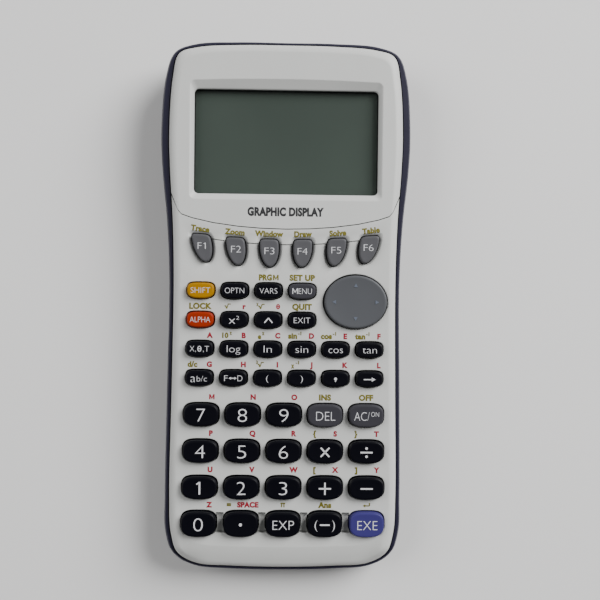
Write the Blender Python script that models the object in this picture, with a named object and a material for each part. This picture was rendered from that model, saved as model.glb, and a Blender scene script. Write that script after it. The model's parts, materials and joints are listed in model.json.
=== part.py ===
"""Graphing calculator, modelled as the pieces it comes apart into.

The calculator lies on its back: +X to the user's right, +Y towards the display end and +Z up.
The origin is under the middle of the body, on the surface it lies on. The body is a slim wedge,
so everything that belongs to the face is modelled in the face's own frame (x, y, h), where h is
the height above the face, and hangs from one empty that is tilted with it. Lengths are in
millimetres and are turned into metres where vertices and locations are made.
"""

import math

import bmesh
import bpy
from mathutils import Matrix, Vector

MM = 0.001

# Body
FACE_TILT = math.radians(1.6)
FACE_HEIGHT = 17.34
GAP = 0.3
OUTLINE_STEPS = 2

# Half outlines, from the middle of the keypad end round the right side to the display end.
# Both lists have a point at the same places, so that the rim between them can be skinned.
REAR_HALF = (
    (0, -88.0), (18, -87.6), (29.5, -86.5), (36.2, -82.8), (39.1, -75), (39.4, -62),
    (38.95, -27), (38.45, 8), (39.3, 28), (41.05, 46), (41.5, 58), (40.1, 76.5),
    (37.2, 84.3), (30.5, 87.1), (16, 88.0), (0, 88.0),
)
FRONT_HALF = (
    (0, -86.2), (17, -85.8), (28.5, -84.9), (34.4, -81.6), (36.9, -74.5), (37.5, -62),
    (37.0, -27), (36.6, 8), (37.05, 28), (38.15, 46), (38.45, 58), (37.4, 75.5),
    (35.4, 83.2), (29.5, 85.3), (15, 86.3), (0, 86.4),
)
# The line where the display bezel ends and the keypad face begins, right half.
SEAM_HALF = ((0, 26.05), (8, 26.25), (15.5, 26.8), (23.7, 27.9), (30.5, 29.4), (34, 30.6),
             (35.2, 32), (37.3, 37), (38.6, 39.2), (60, 40.5))

# Front case and display bezel
FACE_PLATE = 2.0
FRONT_WALL = 1.5
FRONT_FOOT = -5.4
FRONT_SEAM = -2.6
# How far the face's edge has been drawn in at each height on its way up to the flat of the face.
FACE_ROLL = ((0.35, -1.3), (1.2, -0.45))
FACE_INSET = 2.6
UNDERSIDE_INSET = -0.3
APRON_REACH = -60.0
APRON_START = -78.6
APRON_DROP = 1.4

# Rear case
REAR_FLOOR = 2.6
REAR_LEDGE = -5.7
REAR_RIM = -2.5
REAR_WALL = (1.2, 4.5)
REAR_FLOOR_INSET = 2.6
# (drawn in, height): the rounded foot above the base, then the rounded rim below the face.
REAR_FOOT_ROLL = ((5.0, 0.0), (3.5, 0.5), (2.0, 2.0), (0.9, 4.4))
REAR_RIM_ROLL = ((0.0, -7.1), (0.15, -5.0), (0.5, -3.4), (0.95, REAR_RIM))

# Display
OPENING_BOTTOM = (30.2, 37.5, 71.55)
OPENING_TOP = (31.3, 35.8, 73.95)
OPENING_CORNER = 1.5
GLASS_TOP = -2.3
GLASS_THICKNESS = 1.0
GLASS_BORDER = 2.4
LCD_TOP = -3.6
LCD_THICKNESS = 1.6

# Keys
KEY_GAP = 0.35
KEY_FLANGE = 0.65
KEY_TRAVEL = 1.2
FLANGE_TOP = -2.3
FLANGE_BOTTOM = -3.0
KEY_CROWN = 0.5
KEY_POINTS = 12
SMALL_KEY = {"width": 8.75, "top": 2.55, "bottom": 2.57, "high": 1.8, "squareness": (3.7, 2.7)}
LARGE_KEY = {"width": 11.34, "top": 3.65, "bottom": 3.76, "high": 2.0, "squareness": (3.3, 2.8)}
LAST_ROW_KEY = {"width": 11.34, "top": 4.05, "bottom": 4.16, "high": 2.0, "squareness": (3.3, 2.8)}
FUNCTION_KEY = {"width": 6.1, "top": 2.85, "bottom": 6.15, "high": 1.6, "squareness": (5.0, 1.9)}

# Each block of keys: the middle of its first row, its pitch, the columns that the pitch is
# counted from the middle of, and how much the pitch across grows from row to row.
SMALL_BLOCK = {"middle": (0.14, 5.74), "pitch": (11.02, 9.52), "columns": 6, "fan": 0.035}
SMALL_ROWS = (
    ("shift", "optn", "vars", "menu"),
    ("alpha", "square", "power", "exit"),
    ("xtt", "log", "ln", "sin", "cos", "tan"),
    ("fraction", "f_d", "paren_open", "paren_close", "comma", "store"),
)
LARGE_BLOCK = {"middle": (0.05, -34.78), "pitch": (13.495, 11.94), "columns": 5, "fan": 0.095}
LARGE_ROWS = (
    ("7", "8", "9", "del", "ac_on"),
    ("4", "5", "6", "multiply", "divide"),
    ("1", "2", "3", "plus", "minus"),
    ("0", "point", "exp", "negate", "exe"),
)
FUNCTION_X = (-27.1, -16.15, -5.25, 5.65, 16.7, 27.3)
FUNCTION_MIDDLE_Y = 19.7
FUNCTION_RISE = 0.0021
FUNCTION_LEAN = 1 / 140
FUNCTION_SLOPE = 1 / 390

# Cursor disc and its two-way pivot
DISC_CENTRE = (23.15, 2.45)
DISC_SIZE = (20.5, 17.4)
DISC_RIM = 1.6
DISC_BOTTOM = -1.6
PIVOT_HEIGHT = -3.0
PIVOT_RADIUS = 0.8
PIVOT_REACH = 3.6
LUG = (2.4, 1.2)

# Inside
MAT_TOP = -5.2
MAT_THICKNESS = 0.8
DOME_HEIGHT = 0.7
DOME_RADIUS = 1.9
BOARD_TOP = -6.3
BOARD_THICKNESS = 1.2

# Batteries, in the base's frame
CELL_RADIUS = 5.25
CELL_PITCH = 10.8
CELL_BODY = 43.5
CELL_NUB = (1.0, 1.9)
CELL_START = 30.0
CELL_BOTTOM = 1.9
WELL = (22.5, 29.0, 75.6)
TRAY_WALL = 2.0
TRAY_FLOOR = ((-28.5, 22.0, 1.0), (28.5, 83.0, 3.6))
TRAY_TOP = 12.2
COVER = {"half_width": 26.7, "start": 24.3, "bottom": 0.1, "top": 1.5}

NAVY = (0.030, 0.032, 0.052)
PALE_GREY = (0.48, 0.49, 0.47)
BLACK = (0.012, 0.012, 0.018)
CHARCOAL = (0.10, 0.10, 0.105)
KEY_COLOURS = {
    "shift": (0.55, 0.24, 0.015),
    "alpha": (0.50, 0.055, 0.02),
    "exe": (0.06, 0.06, 0.27),
    "menu": (0.05, 0.049, 0.055),
    "del": (0.05, 0.049, 0.055),
    "ac_on": (0.075, 0.073, 0.082),
}

FACE_FRAME = Matrix.Translation((0, 0, FACE_HEIGHT)) @ Matrix.Rotation(FACE_TILT, 4, "X")


# ---------------------------------------------------------------- outlines

def smooth_closed(points, steps):
    """Points along a smooth closed curve through the given ones, spaced by chord length."""
    count = len(points)
    at = [Vector(p) for p in points]
    chord = [(at[(i + 1) % count] - at[i]).length ** 0.5 for i in range(count)]
    slope = []
    for i in range(count):
        before, after = chord[i - 1], chord[i]
        into = (at[i] - at[i - 1]) / before
        out = (at[(i + 1) % count] - at[i]) / after
        slope.append((into * after + out * before) / (before + after))
    found = []
    for i in range(count):
        j = (i + 1) % count
        for step in range(steps):
            t = step / steps
            found.append(
                at[i] * (2 * t**3 - 3 * t**2 + 1)
                + slope[i] * (chord[i] * (t**3 - 2 * t**2 + t))
                + at[j] * (3 * t**2 - 2 * t**3)
                + slope[j] * (chord[i] * (t**3 - t**2))
            )
    return [(p.x, p.y) for p in found]


def mirrored(half):
    """A whole outline, anticlockwise, from its right half."""
    return list(half) + [(-x, y) for x, y in reversed(half[1:-1])]


REAR_OUTLINE = smooth_closed(mirrored(REAR_HALF), OUTLINE_STEPS)
FRONT_OUTLINE = smooth_closed(mirrored(FRONT_HALF), OUTLINE_STEPS)


def inset(outline, distance):
    """The outline drawn in by about this distance, evenly on all sides."""
    wide = max(x for x, _ in outline)
    long = max(y for _, y in outline)
    return [(x * (1 - distance / wide), y * (1 - distance / long)) for x, y in outline]


def apron(y):
    """How far the front edge has dropped at y: nothing on the face, all of it at the end."""
    t = min(max((APRON_START - y) / 5.0, 0.0), 1.0)
    return APRON_DROP * t * t * (3 - 2 * t)


def at_height(outline, h):
    return [(x, y, h - apron(y)) for x, y in outline]


def level(outline, z):
    return [(x, y, z) for x, y in outline]


def to_base(points):
    """Points of the face's frame given in the base's frame."""
    return [tuple(FACE_FRAME @ Vector(p)) for p in points]


def superellipse(width, top, bottom, squareness, count):
    """An outline whose upper and lower halves have their own height and squareness."""
    points = []
    for k in range(count):
        turn = 2 * math.pi * k / count
        across, up = math.cos(turn), math.sin(turn)
        power = 2 / squareness[0 if up >= 0 else 1]
        reach = top if up >= 0 else bottom
        points.append((
            math.copysign(abs(across) ** power, across) * width / 2,
            math.copysign(abs(up) ** power, up) * reach,
        ))
    return points


def rounded_box(half_width, low, high, radius, per_corner=3):
    """A rectangle with round corners, anticlockwise, symmetrical about x = 0."""
    points = []
    corners = ((1, low, -90), (1, high, 0), (-1, high, 90), (-1, low, 180))
    for side, y, first in corners:
        middle_y = y + radius if y == low else y - radius
        for k in range(per_corner):
            turn = math.radians(first + 90 * k / (per_corner - 1))
            points.append((
                side * (half_width - radius) + radius * math.cos(turn),
                middle_y + radius * math.sin(turn),
            ))
    return points


def circle(radius, count, centre=(0.0, 0.0)):
    turns = [2 * math.pi * k / count for k in range(count)]
    return [(centre[0] + radius * math.cos(t), centre[1] + radius * math.sin(t)) for t in turns]


def moved(outline, centre):
    return [(x + centre[0], y + centre[1]) for x, y in outline]


# ---------------------------------------------------------------- solids

class Solid:
    """One mesh skinned from rings of points in millimetres."""

    def __init__(self):
        self.mesh = bmesh.new()

    def ring(self, points):
        return [self.mesh.verts.new(Vector(p) * MM) for p in points]

    def band(self, lower, upper):
        count = len(lower)
        for i in range(count):
            j = (i + 1) % count
            self.mesh.faces.new((lower[i], lower[j], upper[j], upper[i]))

    def bands(self, rings):
        for lower, upper in zip(rings, rings[1:]):
            self.band(lower, upper)

    def cap(self, ring):
        self.mesh.faces.new(ring)

    def fill(self, *rings):
        """A flat face between an outer ring and the holes inside it."""
        edges = []
        for ring in rings:
            for i, vert in enumerate(ring):
                pair = (vert, ring[(i + 1) % len(ring)])
                edges.append(self.mesh.edges.get(pair) or self.mesh.edges.new(pair))
        bmesh.ops.triangle_fill(self.mesh, use_beauty=True, edges=edges)

    def finish(self, name, colour, roughness=0.5, metallic=0.0, parent=None, location=(0, 0, 0)):
        bmesh.ops.recalc_face_normals(self.mesh, faces=self.mesh.faces)
        data = bpy.data.meshes.new(name)
        self.mesh.to_mesh(data)
        self.mesh.free()
        return place(name, data, colour, roughness, metallic, parent, location)


def material(name, colour, roughness, metallic):
    made = bpy.data.materials.new(name)
    made.use_nodes = True
    shader = made.node_tree.nodes["Principled BSDF"]
    shader.inputs["Base Color"].default_value = (*colour[:3], 1.0)
    shader.inputs["Roughness"].default_value = roughness
    shader.inputs["Metallic"].default_value = metallic
    return made


def place(name, data, colour, roughness, metallic, parent, location):
    piece = bpy.data.objects.new(name, data)
    bpy.context.scene.collection.objects.link(piece)
    data.materials.append(material(name, colour, roughness, metallic))
    data.shade_smooth()
    data.set_sharp_from_angle(angle=math.radians(35))
    piece.parent = parent
    piece.location = Vector(location) * MM
    return piece


def prism(outline, low, high):
    """A straight-sided block, ready for more work or for finish()."""
    solid = Solid()
    rings = [solid.ring(level(outline, low)), solid.ring(level(outline, high))]
    solid.bands(rings)
    solid.cap(rings[0])
    solid.cap(rings[1])
    return solid


def box(low, high):
    corners = [(low[0], low[1]), (high[0], low[1]), (high[0], high[1]), (low[0], high[1])]
    return prism(corners, low[2], high[2])


def join(piece, operation, tool):
    """Adds, cuts or keeps what a hidden tool solid covers."""
    tool.hide_render = True
    tool.display_type = "WIRE"
    modifier = piece.modifiers.new(tool.name, "BOOLEAN")
    modifier.operation = operation
    modifier.solver = "EXACT"
    modifier.object = tool


# ---------------------------------------------------------------- front half

def front_shell(name, face, holes):
    """The pale shell of the front half, with straight holes through its face.

    Each hole is a pair of outlines, at the top and at the underside of the face.
    """
    solid = Solid()
    edge = inset(FRONT_OUTLINE, FACE_INSET)
    squeeze = (APRON_START - APRON_REACH) / (min(y for _, y in edge) - APRON_REACH)
    edge = [(x, max(y, APRON_REACH) + min(y - APRON_REACH, 0.0) * squeeze) for x, y in edge]
    outer = [
        solid.ring(at_height(FRONT_OUTLINE, FRONT_FOOT)),
        solid.ring(at_height(FRONT_OUTLINE, FRONT_SEAM)),
    ]
    outer += [solid.ring(at_height(inset(FRONT_OUTLINE, d), h)) for d, h in FACE_ROLL]
    outer.append(solid.ring(level(edge, 0.0)))
    inner = [
        solid.ring(at_height(inset(FRONT_OUTLINE, FRONT_WALL), FRONT_FOOT)),
        solid.ring(level(inset(edge, UNDERSIDE_INSET), -FACE_PLATE)),
    ]
    solid.bands(outer)
    solid.bands(inner)
    solid.band(inner[0], outer[0])
    tops = [solid.ring(level(top, 0.0)) for top, _ in holes]
    bottoms = [solid.ring(level(bottom, -FACE_PLATE)) for _, bottom in holes]
    for top, bottom in zip(tops, bottoms):
        solid.band(bottom, top)
    solid.fill(outer[-1], *tops)
    solid.fill(inner[-1], *bottoms)
    return solid.finish(name, PALE_GREY, 0.55, parent=face)


def seam_block(name, face, above):
    """A tool block that reaches to the seam from the display end or from the keypad end."""
    side = 1 if above else -1
    line = [(x, y + side * GAP / 2) for x, y in SEAM_HALF]
    across = [(-x, y) for x, y in reversed(line[1:])] + line
    far = 120 * side
    outline = across + [(60, far), (-60, far)]
    return prism(outline, -15, 5).finish(name, PALE_GREY, parent=face)


def key_outline(kind, grow=0.0):
    return superellipse(
        kind["width"] + 2 * grow, kind["top"] + grow, kind["bottom"] + grow,
        kind["squareness"], KEY_POINTS,
    )


def leaning(outline, x):
    """A function key's outline: it leans towards the middle of the row, more at its ends."""
    lean, slope = -x * FUNCTION_LEAN, x * FUNCTION_SLOPE
    return [(px - lean * py, py + slope * px) for px, py in outline]


def keys():
    """Every key: its name, kind, centre and the outline of its cap at a given growth."""
    for number, x in enumerate(FUNCTION_X, 1):
        y = FUNCTION_MIDDLE_Y + FUNCTION_RISE * x * x
        yield f"key_f{number}", FUNCTION_KEY, (x, y), lambda grow, x=x: leaning(
            key_outline(FUNCTION_KEY, grow), x)
    for rows, block, usual in (
        (SMALL_ROWS, SMALL_BLOCK, SMALL_KEY),
        (LARGE_ROWS, LARGE_BLOCK, LARGE_KEY),
    ):
        middle, pitch = block["middle"], block["pitch"]
        for row, names in enumerate(rows):
            kind = LAST_ROW_KEY if names is LARGE_ROWS[-1] else usual
            across = pitch[0] + row * block["fan"]
            for column, name in enumerate(names):
                steps = column - (block["columns"] - 1) / 2
                centre = (middle[0] + steps * across, middle[1] - row * pitch[1])
                yield f"key_{name}", kind, centre, lambda grow, kind=kind: key_outline(kind, grow)


def key_colour(name):
    if name.startswith("key_f") and name[5:].isdigit():
        return CHARCOAL
    return KEY_COLOURS.get(name[4:], BLACK)


def make_key(face, name, kind, centre, outline):
    """A cap with a crowned top and a flange that keeps it under the face."""
    solid = Solid()
    rings = [
        solid.ring(level(outline(KEY_FLANGE), FLANGE_BOTTOM)),
        solid.ring(level(outline(KEY_FLANGE), FLANGE_TOP)),
        solid.ring(level(outline(0.0), FLANGE_TOP)),
        solid.ring(level(outline(0.0), kind["high"] - KEY_CROWN)),
        solid.ring(level(outline(-KEY_CROWN), kind["high"])),
    ]
    solid.bands(rings)
    solid.cap(rings[0])
    solid.cap(rings[-1])
    colour = key_colour(name)
    return solid.finish(name, colour, 0.45, parent=face, location=(*centre, 0))


def disc_outline(grow=0.0, count=20):
    half = DISC_SIZE[1] / 2 + grow
    return superellipse(DISC_SIZE[0] + 2 * grow, half, half, (2, 2), count)


def make_cursor(face):
    """A dished rocker disc on a cross-shaped pivot."""
    solid = Solid()
    rings = [
        solid.ring(level(disc_outline(-0.5), DISC_BOTTOM)),
        solid.ring(level(disc_outline(), DISC_BOTTOM + 0.5)),
        solid.ring(level(disc_outline(), DISC_RIM - 0.5)),
        solid.ring(level(disc_outline(-0.7), DISC_RIM)),
        solid.ring(level(disc_outline(-2.4), DISC_RIM - 0.45)),
        solid.ring(level(disc_outline(-5.5), DISC_RIM - 0.8)),
    ]
    solid.bands(rings)
    solid.cap(rings[0])
    solid.cap(rings[-1])
    centre = (*DISC_CENTRE, 0)
    disc = solid.finish("cursor_disc", CHARCOAL, 0.4, parent=face, location=centre)
    inner = PIVOT_REACH + GAP
    for side, word in ((1, "far"), (-1, "near")):
        y = sorted((side * inner, side * (inner + LUG[1])))
        lug = box((-LUG[0] / 2, y[0], PIVOT_HEIGHT - 0.9), (LUG[0] / 2, y[1], DISC_BOTTOM + 0.4))
        join(disc, "UNION", lug.finish(f"lug_{word}", CHARCOAL, parent=face, location=centre))

    def bar(turn):
        ends = []
        arm = Solid()
        for reach in (-PIVOT_REACH, PIVOT_REACH):
            ring = [(reach, y, PIVOT_HEIGHT + z) for y, z in circle(PIVOT_RADIUS, 8)]
            ends.append(arm.ring([tuple(turn @ Vector(p)) for p in ring]))
        arm.bands(ends)
        arm.cap(ends[0])
        arm.cap(ends[1])
        return arm

    pivot = bar(Matrix.Identity(3)).finish(
        "cursor_pivot", (0.7, 0.7, 0.7), 0.4, parent=face, location=centre)
    crossing = bar(Matrix.Rotation(math.pi / 2, 3, "Z")).finish(
        "pivot_crossing", (0.7, 0.7, 0.7), parent=face, location=centre)
    join(pivot, "UNION", crossing)


def make_front(face):
    caps = list(keys())
    key_holes = []
    for _, _, centre, outline in caps:
        hole = moved(outline(KEY_GAP), centre)
        key_holes.append((hole, hole))
    disc_hole = moved(disc_outline(KEY_GAP), DISC_CENTRE)
    front = front_shell("front_case", face, key_holes + [(disc_hole, disc_hole)])
    join(front, "INTERSECT", seam_block("keypad_side", face, above=False))

    opening = [
        rounded_box(half, low, high, OPENING_CORNER)
        for half, low, high in (OPENING_TOP, OPENING_BOTTOM)
    ]
    bezel = front_shell("display_bezel", face, [tuple(opening)])
    join(bezel, "INTERSECT", seam_block("display_side", face, above=True))

    half, low, high = OPENING_BOTTOM
    border = GLASS_BORDER
    glass = rounded_box(half + border, low - border, high + border, 2.0)
    prism(glass, GLASS_TOP - GLASS_THICKNESS, GLASS_TOP).finish(
        "display_window", (0.75, 0.8, 0.8), 0.1, parent=face)
    panel = rounded_box(half + 1.0, low - 1.0, high + 1.0, 0.5, per_corner=2)
    prism(panel, LCD_TOP - LCD_THICKNESS, LCD_TOP).finish(
        "lcd_panel", (0.07, 0.09, 0.075), 0.3, parent=face)

    for cap in caps:
        make_key(face, *cap)
    make_cursor(face)


# ---------------------------------------------------------------- inside

def make_mat(face):
    """A rubber sheet with one low pad under each key, drawn as a pressed key leaves it."""
    solid = Solid()
    sheet = rounded_box(33.2, -78.3, 25.4, 3.0)
    sides = [
        solid.ring(level(sheet, MAT_TOP - MAT_THICKNESS)),
        solid.ring(level(sheet, MAT_TOP)),
    ]
    solid.bands(sides)
    hole = circle(7.6, 12, DISC_CENTRE)
    low, high = (solid.ring(level(hole, z)) for z in (MAT_TOP - MAT_THICKNESS, MAT_TOP))
    solid.band(low, high)
    feet = []
    for _, _, centre, _ in keys():
        foot = solid.ring(level(circle(DOME_RADIUS, 8, centre), MAT_TOP))
        crown = solid.ring(level(circle(DOME_RADIUS * 0.7, 8, centre), MAT_TOP + DOME_HEIGHT))
        solid.band(foot, crown)
        solid.cap(crown)
        feet.append(foot)
    solid.fill(sides[1], high, *feet)
    solid.fill(sides[0], low)
    solid.finish("key_mat", (0.35, 0.35, 0.36), 0.8, parent=face)


def make_board(face):
    """The circuit board, with two posts that carry the cursor pivot."""
    board = prism(
        rounded_box(33.2, -78.3, 25.4, 1.5), BOARD_TOP - BOARD_THICKNESS, BOARD_TOP
    ).finish("circuit_board", (0.02, 0.14, 0.05), 0.45, parent=face)
    inner = PIVOT_REACH + GAP
    for side, word in ((1, "right"), (-1, "left")):
        x = sorted((side * inner, side * (inner + LUG[1])))
        post = box(
            (x[0], -LUG[0] / 2, BOARD_TOP - 0.5), (x[1], LUG[0] / 2, PIVOT_HEIGHT + 0.9)
        ).finish(f"post_{word}", CHARCOAL, parent=face, location=(*DISC_CENTRE, 0))
        join(board, "UNION", post)


def make_batteries():
    for number in range(4):
        x = (number - 1.5) * CELL_PITCH
        solid = Solid()
        sections = (
            (0.0, CELL_RADIUS), (CELL_BODY, CELL_RADIUS),
            (CELL_BODY, CELL_NUB[1]), (CELL_BODY + CELL_NUB[0], CELL_NUB[1]),
        )
        rings = []
        for along, radius in sections:
            around = circle(radius, 14, (0.0, CELL_BOTTOM + CELL_RADIUS))
            rings.append(solid.ring([(x + px, CELL_START + along, pz) for px, pz in around]))
        solid.bands(rings)
        solid.cap(rings[0])
        solid.cap(rings[-1])
        solid.finish(f"battery_{number + 1}", (0.55, 0.42, 0.12), 0.35, 0.6)


# ---------------------------------------------------------------- rear half

def rear_rings(solid):
    """The outside of the rear case, from the flat it rests on up to its rim."""
    rings = [solid.ring(level(inset(REAR_OUTLINE, d), z)) for d, z in REAR_FOOT_ROLL]
    rings += [
        solid.ring(to_base(at_height(inset(REAR_OUTLINE, d), h))) for d, h in REAR_RIM_ROLL
    ]
    return rings


def make_rear():
    """The rear case: a tub with a tray for four cells and a slot for the battery cover."""
    solid = Solid()
    outer = rear_rings(solid)
    wall = inset(FRONT_OUTLINE, REAR_WALL[0])
    inner = [
        solid.ring(to_base(at_height(inset(FRONT_OUTLINE, -GAP), REAR_RIM))),
        solid.ring(to_base(at_height(inset(FRONT_OUTLINE, -GAP), REAR_LEDGE))),
        solid.ring(to_base(at_height(wall, REAR_LEDGE))),
        solid.ring(level(wall, REAR_WALL[1])),
        solid.ring(level(inset(FRONT_OUTLINE, REAR_FLOOR_INSET), REAR_FLOOR)),
    ]
    solid.bands(outer + inner)
    solid.cap(outer[0])
    solid.cap(inner[-1])
    rear = solid.finish("rear_case", NAVY, 0.45)

    half, low, high = WELL
    join(rear, "UNION", box(*TRAY_FLOOR).finish("tray_floor", NAVY))
    walls = box(
        (-half - TRAY_WALL, low - TRAY_WALL, 2.0), (half + TRAY_WALL, high + TRAY_WALL, TRAY_TOP))
    join(rear, "UNION", walls.finish("tray_walls", NAVY))
    well = box((-half, low, -2.0), (half, high, 14.0))
    join(rear, "DIFFERENCE", well.finish("battery_well", NAVY))
    slot = COVER["half_width"] + GAP
    room = box((-slot, COVER["start"] - GAP, -2.0), (slot, 100.0, COVER["top"] + GAP))
    join(rear, "DIFFERENCE", room.finish("cover_slot", NAVY))


def make_cover():
    """The battery cover: a plate in the rear face that slides out past the display end."""
    plate = box(
        (-COVER["half_width"], COVER["start"], COVER["bottom"]),
        (COVER["half_width"], 100.0, COVER["top"]),
    ).finish("battery_cover", NAVY, 0.45)
    solid = Solid()
    outer = rear_rings(solid)
    solid.bands(outer)
    solid.cap(outer[0])
    solid.fill(outer[-1])
    join(plate, "INTERSECT", solid.finish("rear_envelope", NAVY))


def main():
    for old in list(bpy.data.objects):
        bpy.data.objects.remove(old)
    face = bpy.data.objects.new("face", None)
    bpy.context.scene.collection.objects.link(face)
    face.matrix_world = Matrix.Translation((0, 0, FACE_HEIGHT * MM)) @ Matrix.Rotation(
        FACE_TILT, 4, "X")
    make_front(face)
    make_mat(face)
    make_board(face)
    make_batteries()
    make_rear()
    make_cover()


main()
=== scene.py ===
"""Looks for a graphing calculator: its moulded shells, key caps, printed legends and display."""

import json
import math

import bmesh
import bpy
from mathutils import Euler, Matrix, Vector


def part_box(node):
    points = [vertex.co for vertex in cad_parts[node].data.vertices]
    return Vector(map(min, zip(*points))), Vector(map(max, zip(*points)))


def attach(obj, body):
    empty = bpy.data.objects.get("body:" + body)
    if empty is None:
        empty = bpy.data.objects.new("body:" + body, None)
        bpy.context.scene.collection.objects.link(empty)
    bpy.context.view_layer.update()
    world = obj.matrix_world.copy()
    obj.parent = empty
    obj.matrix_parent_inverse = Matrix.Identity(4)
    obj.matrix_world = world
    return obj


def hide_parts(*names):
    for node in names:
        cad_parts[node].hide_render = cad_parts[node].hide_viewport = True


bl_info = {
    "name": "Graphing calculator",
    "version": (1, 0, 0),
    "blender": (4, 5, 0),
    "location": "View3D > Sidebar > Calculator",
    "description": "Shells, keys, legends and display of a graphing calculator",
    "category": "Object",
}

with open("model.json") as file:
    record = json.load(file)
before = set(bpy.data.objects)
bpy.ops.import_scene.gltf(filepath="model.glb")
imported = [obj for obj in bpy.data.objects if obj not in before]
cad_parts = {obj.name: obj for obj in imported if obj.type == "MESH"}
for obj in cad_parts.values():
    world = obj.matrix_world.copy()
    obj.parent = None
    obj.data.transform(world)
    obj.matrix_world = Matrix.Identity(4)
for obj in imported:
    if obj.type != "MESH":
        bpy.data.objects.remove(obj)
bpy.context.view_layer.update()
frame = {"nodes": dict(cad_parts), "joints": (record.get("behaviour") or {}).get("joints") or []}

MM = 0.001
CASE = "case"
SHARP_ANGLE = 32

# ---------------------------------------------------------------- the body's shape, in millimetres
# Everything on the face is given in the face's own frame: x, y and the height h above the face.

PRESS_AXIS = next(j["axis"] for j in frame["joints"] if j["name"] == "key_f1_press")
FACE_TILT = math.atan2(-PRESS_AXIS[1], PRESS_AXIS[2])
FACE_HEIGHT = 17.34
FACE = Matrix.Translation((0, 0, FACE_HEIGHT)) @ Matrix.Rotation(FACE_TILT, 4, "X")
GAP = 0.3
OUTLINE_STEPS = 8

# Half outlines, from the middle of the keypad end round the right side to the display end.
REAR_HALF = (
    (0, -88.0), (18, -87.6), (29.5, -86.5), (36.2, -82.8), (39.1, -75), (39.4, -62),
    (38.95, -27), (38.45, 8), (39.3, 28), (41.05, 46), (41.5, 58), (40.1, 76.5),
    (37.2, 84.3), (30.5, 87.1), (16, 88.0), (0, 88.0),
)
FRONT_HALF = (
    (0, -86.2), (17, -85.8), (28.5, -84.9), (34.4, -81.6), (36.9, -74.5), (37.5, -62),
    (37.0, -27), (36.6, 8), (37.05, 28), (38.15, 46), (38.45, 58), (37.4, 75.5),
    (35.4, 83.2), (29.5, 85.3), (15, 86.3), (0, 86.4),
)
# The line where the display bezel ends and the keypad face begins, right half.
SEAM_HALF = ((0, 26.05), (8, 26.25), (15.5, 26.8), (23.7, 27.9), (30.5, 29.4), (34, 30.6),
             (35.2, 32), (37.3, 37), (38.6, 39.2), (60, 40.5))
# The keypad face stops further short of the seam past this x, where the seam runs down the side.
SEAM_SIDE = 37
SEAM_SIDE_GAP = 0.5

FACE_PLATE = 2.0
FRONT_WALL = 1.5
FRONT_FOOT = -5.4
APRON_START = -78.6
APRON_DROP = 1.4
# The rounded edge of the face: the share of its width drawn in, and the height, ring by ring.
EDGE_ROLL = ((0.0, -2.6), (0.03, -2.1), (0.1, -1.6), (0.22, -1.1), (0.4, -0.66), (0.62, -0.32),
             (0.82, -0.12))
EDGE_FLAT = 0.25
# Rings of the flat face below this y are drawn up, so that the last one ends where the apron starts.
TUCK_LINE = -60
REAR_FLOOR = 2.6
REAR_LEDGE = -5.7
# How far the rear case's rings are drawn in: at heights above the table, then against the face.
REAR_ROLL = ((5.0, 0.0), (4.4, 0.06), (3.5, 0.5), (2.7, 1.15), (2.0, 2.0), (1.4, 3.1), (0.9, 4.4))
REAR_RIM = ((0.3, -8.4), (0.03, -7.1), (0.05, -6.0), (0.15, -5.0), (0.32, -4.1), (0.5, -3.4),
            (0.72, -2.85), (0.95, -2.5))

# The display opening's half width and its lower and upper ends, at the window and at the face.
OPENING_BOTTOM = (30.2, 37.5, 71.55)
OPENING_TOP = (31.3, 35.8, 73.95)
OPENING_CORNER = 1.5
OPENING_BOW = 0.7
# The display recess: how far each ring has closed from the top opening to the bottom one, its
# growth and its height.
RECESS = ((0, 0.45, 0.0), (0, 0.3, 0.0), (0, 0.12, -0.06), (0, 0, -0.14), (0.88, 0.1, -1.02),
          (1, 0.1, -1.25), (1, 0, -1.45), (1, 0, -FACE_PLATE))
BORDER_REACH = 0.8
BORDER_TOP = -3.4
BORDER_BOTTOM = -3.5

# The groove behind the function keys, and the channels and slits between the last row's keys.
LEDGE = {"middle": 20.95, "bow": 0.0028, "half": 0.15, "reach": 27, "step": 3, "bottom": -1.2}
CHANNEL = {"low": -2.95, "high": 3.5, "corner": 0.25, "bottom": -1.5, "overlap": 0.4}
SLITS = {"near": (-3.1, -2.75), "far": (3.3, 3.65)}
SLIT_BOTTOM = -1.85

KEY_GAP = 0.35
KEY_FLANGE = 0.65
FLANGE_TOP = -2.3
FLANGE_BOTTOM = -3.0
# A key's labels stand above its middle, the shifted one to the left and the letter to the right.
SMALL_KEY = {"width": 8.75, "top": 2.55, "bottom": 2.57, "high": 1.8, "squareness": (3.7, 2.7),
             "labels": (4.45, -2.3, 3.2)}
LARGE_KEY = {"width": 11.34, "top": 3.65, "bottom": 3.76, "high": 2.0, "squareness": (3.3, 2.8),
             "labels": (5.75, -3.4, 3.4)}
LAST_ROW_KEY = {"width": 11.34, "top": 4.05, "bottom": 4.16, "high": 2.0,
                "squareness": (3.3, 2.8), "labels": (6.1, -3.4, 3.4)}
FUNCTION_KEY = {"width": 6.1, "top": 2.85, "bottom": 6.15, "high": 1.6, "squareness": (5.0, 1.9),
                "labels": (4.75, 0.0, 0.0)}
FUNCTION_KEYS = ("f1", "f2", "f3", "f4", "f5", "f6")
LAST_ROW = ("0", "point", "exp", "negate", "exe")
SPECIAL_COLOURS = {"shift": "amber", "alpha": "orange", "exe": "blue", "menu": "graphite",
                   "del": "graphite", "ac_on": "graphite"}
FUNCTION_LEAN = 1 / 140
FUNCTION_SLOPE = 1 / 390
FUNCTION_LABEL_SPREAD = 1.026
FUNCTION_LABEL_TURN = 0.0045
FUNCTION_LEGEND_DROP = -0.95
KEY_POINTS = 56

DISC_SIZE = (20.5, 17.4)
DISC_POINTS = 96
DISC_RIM = 1.6
DISC_BOTTOM = -1.6
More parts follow.
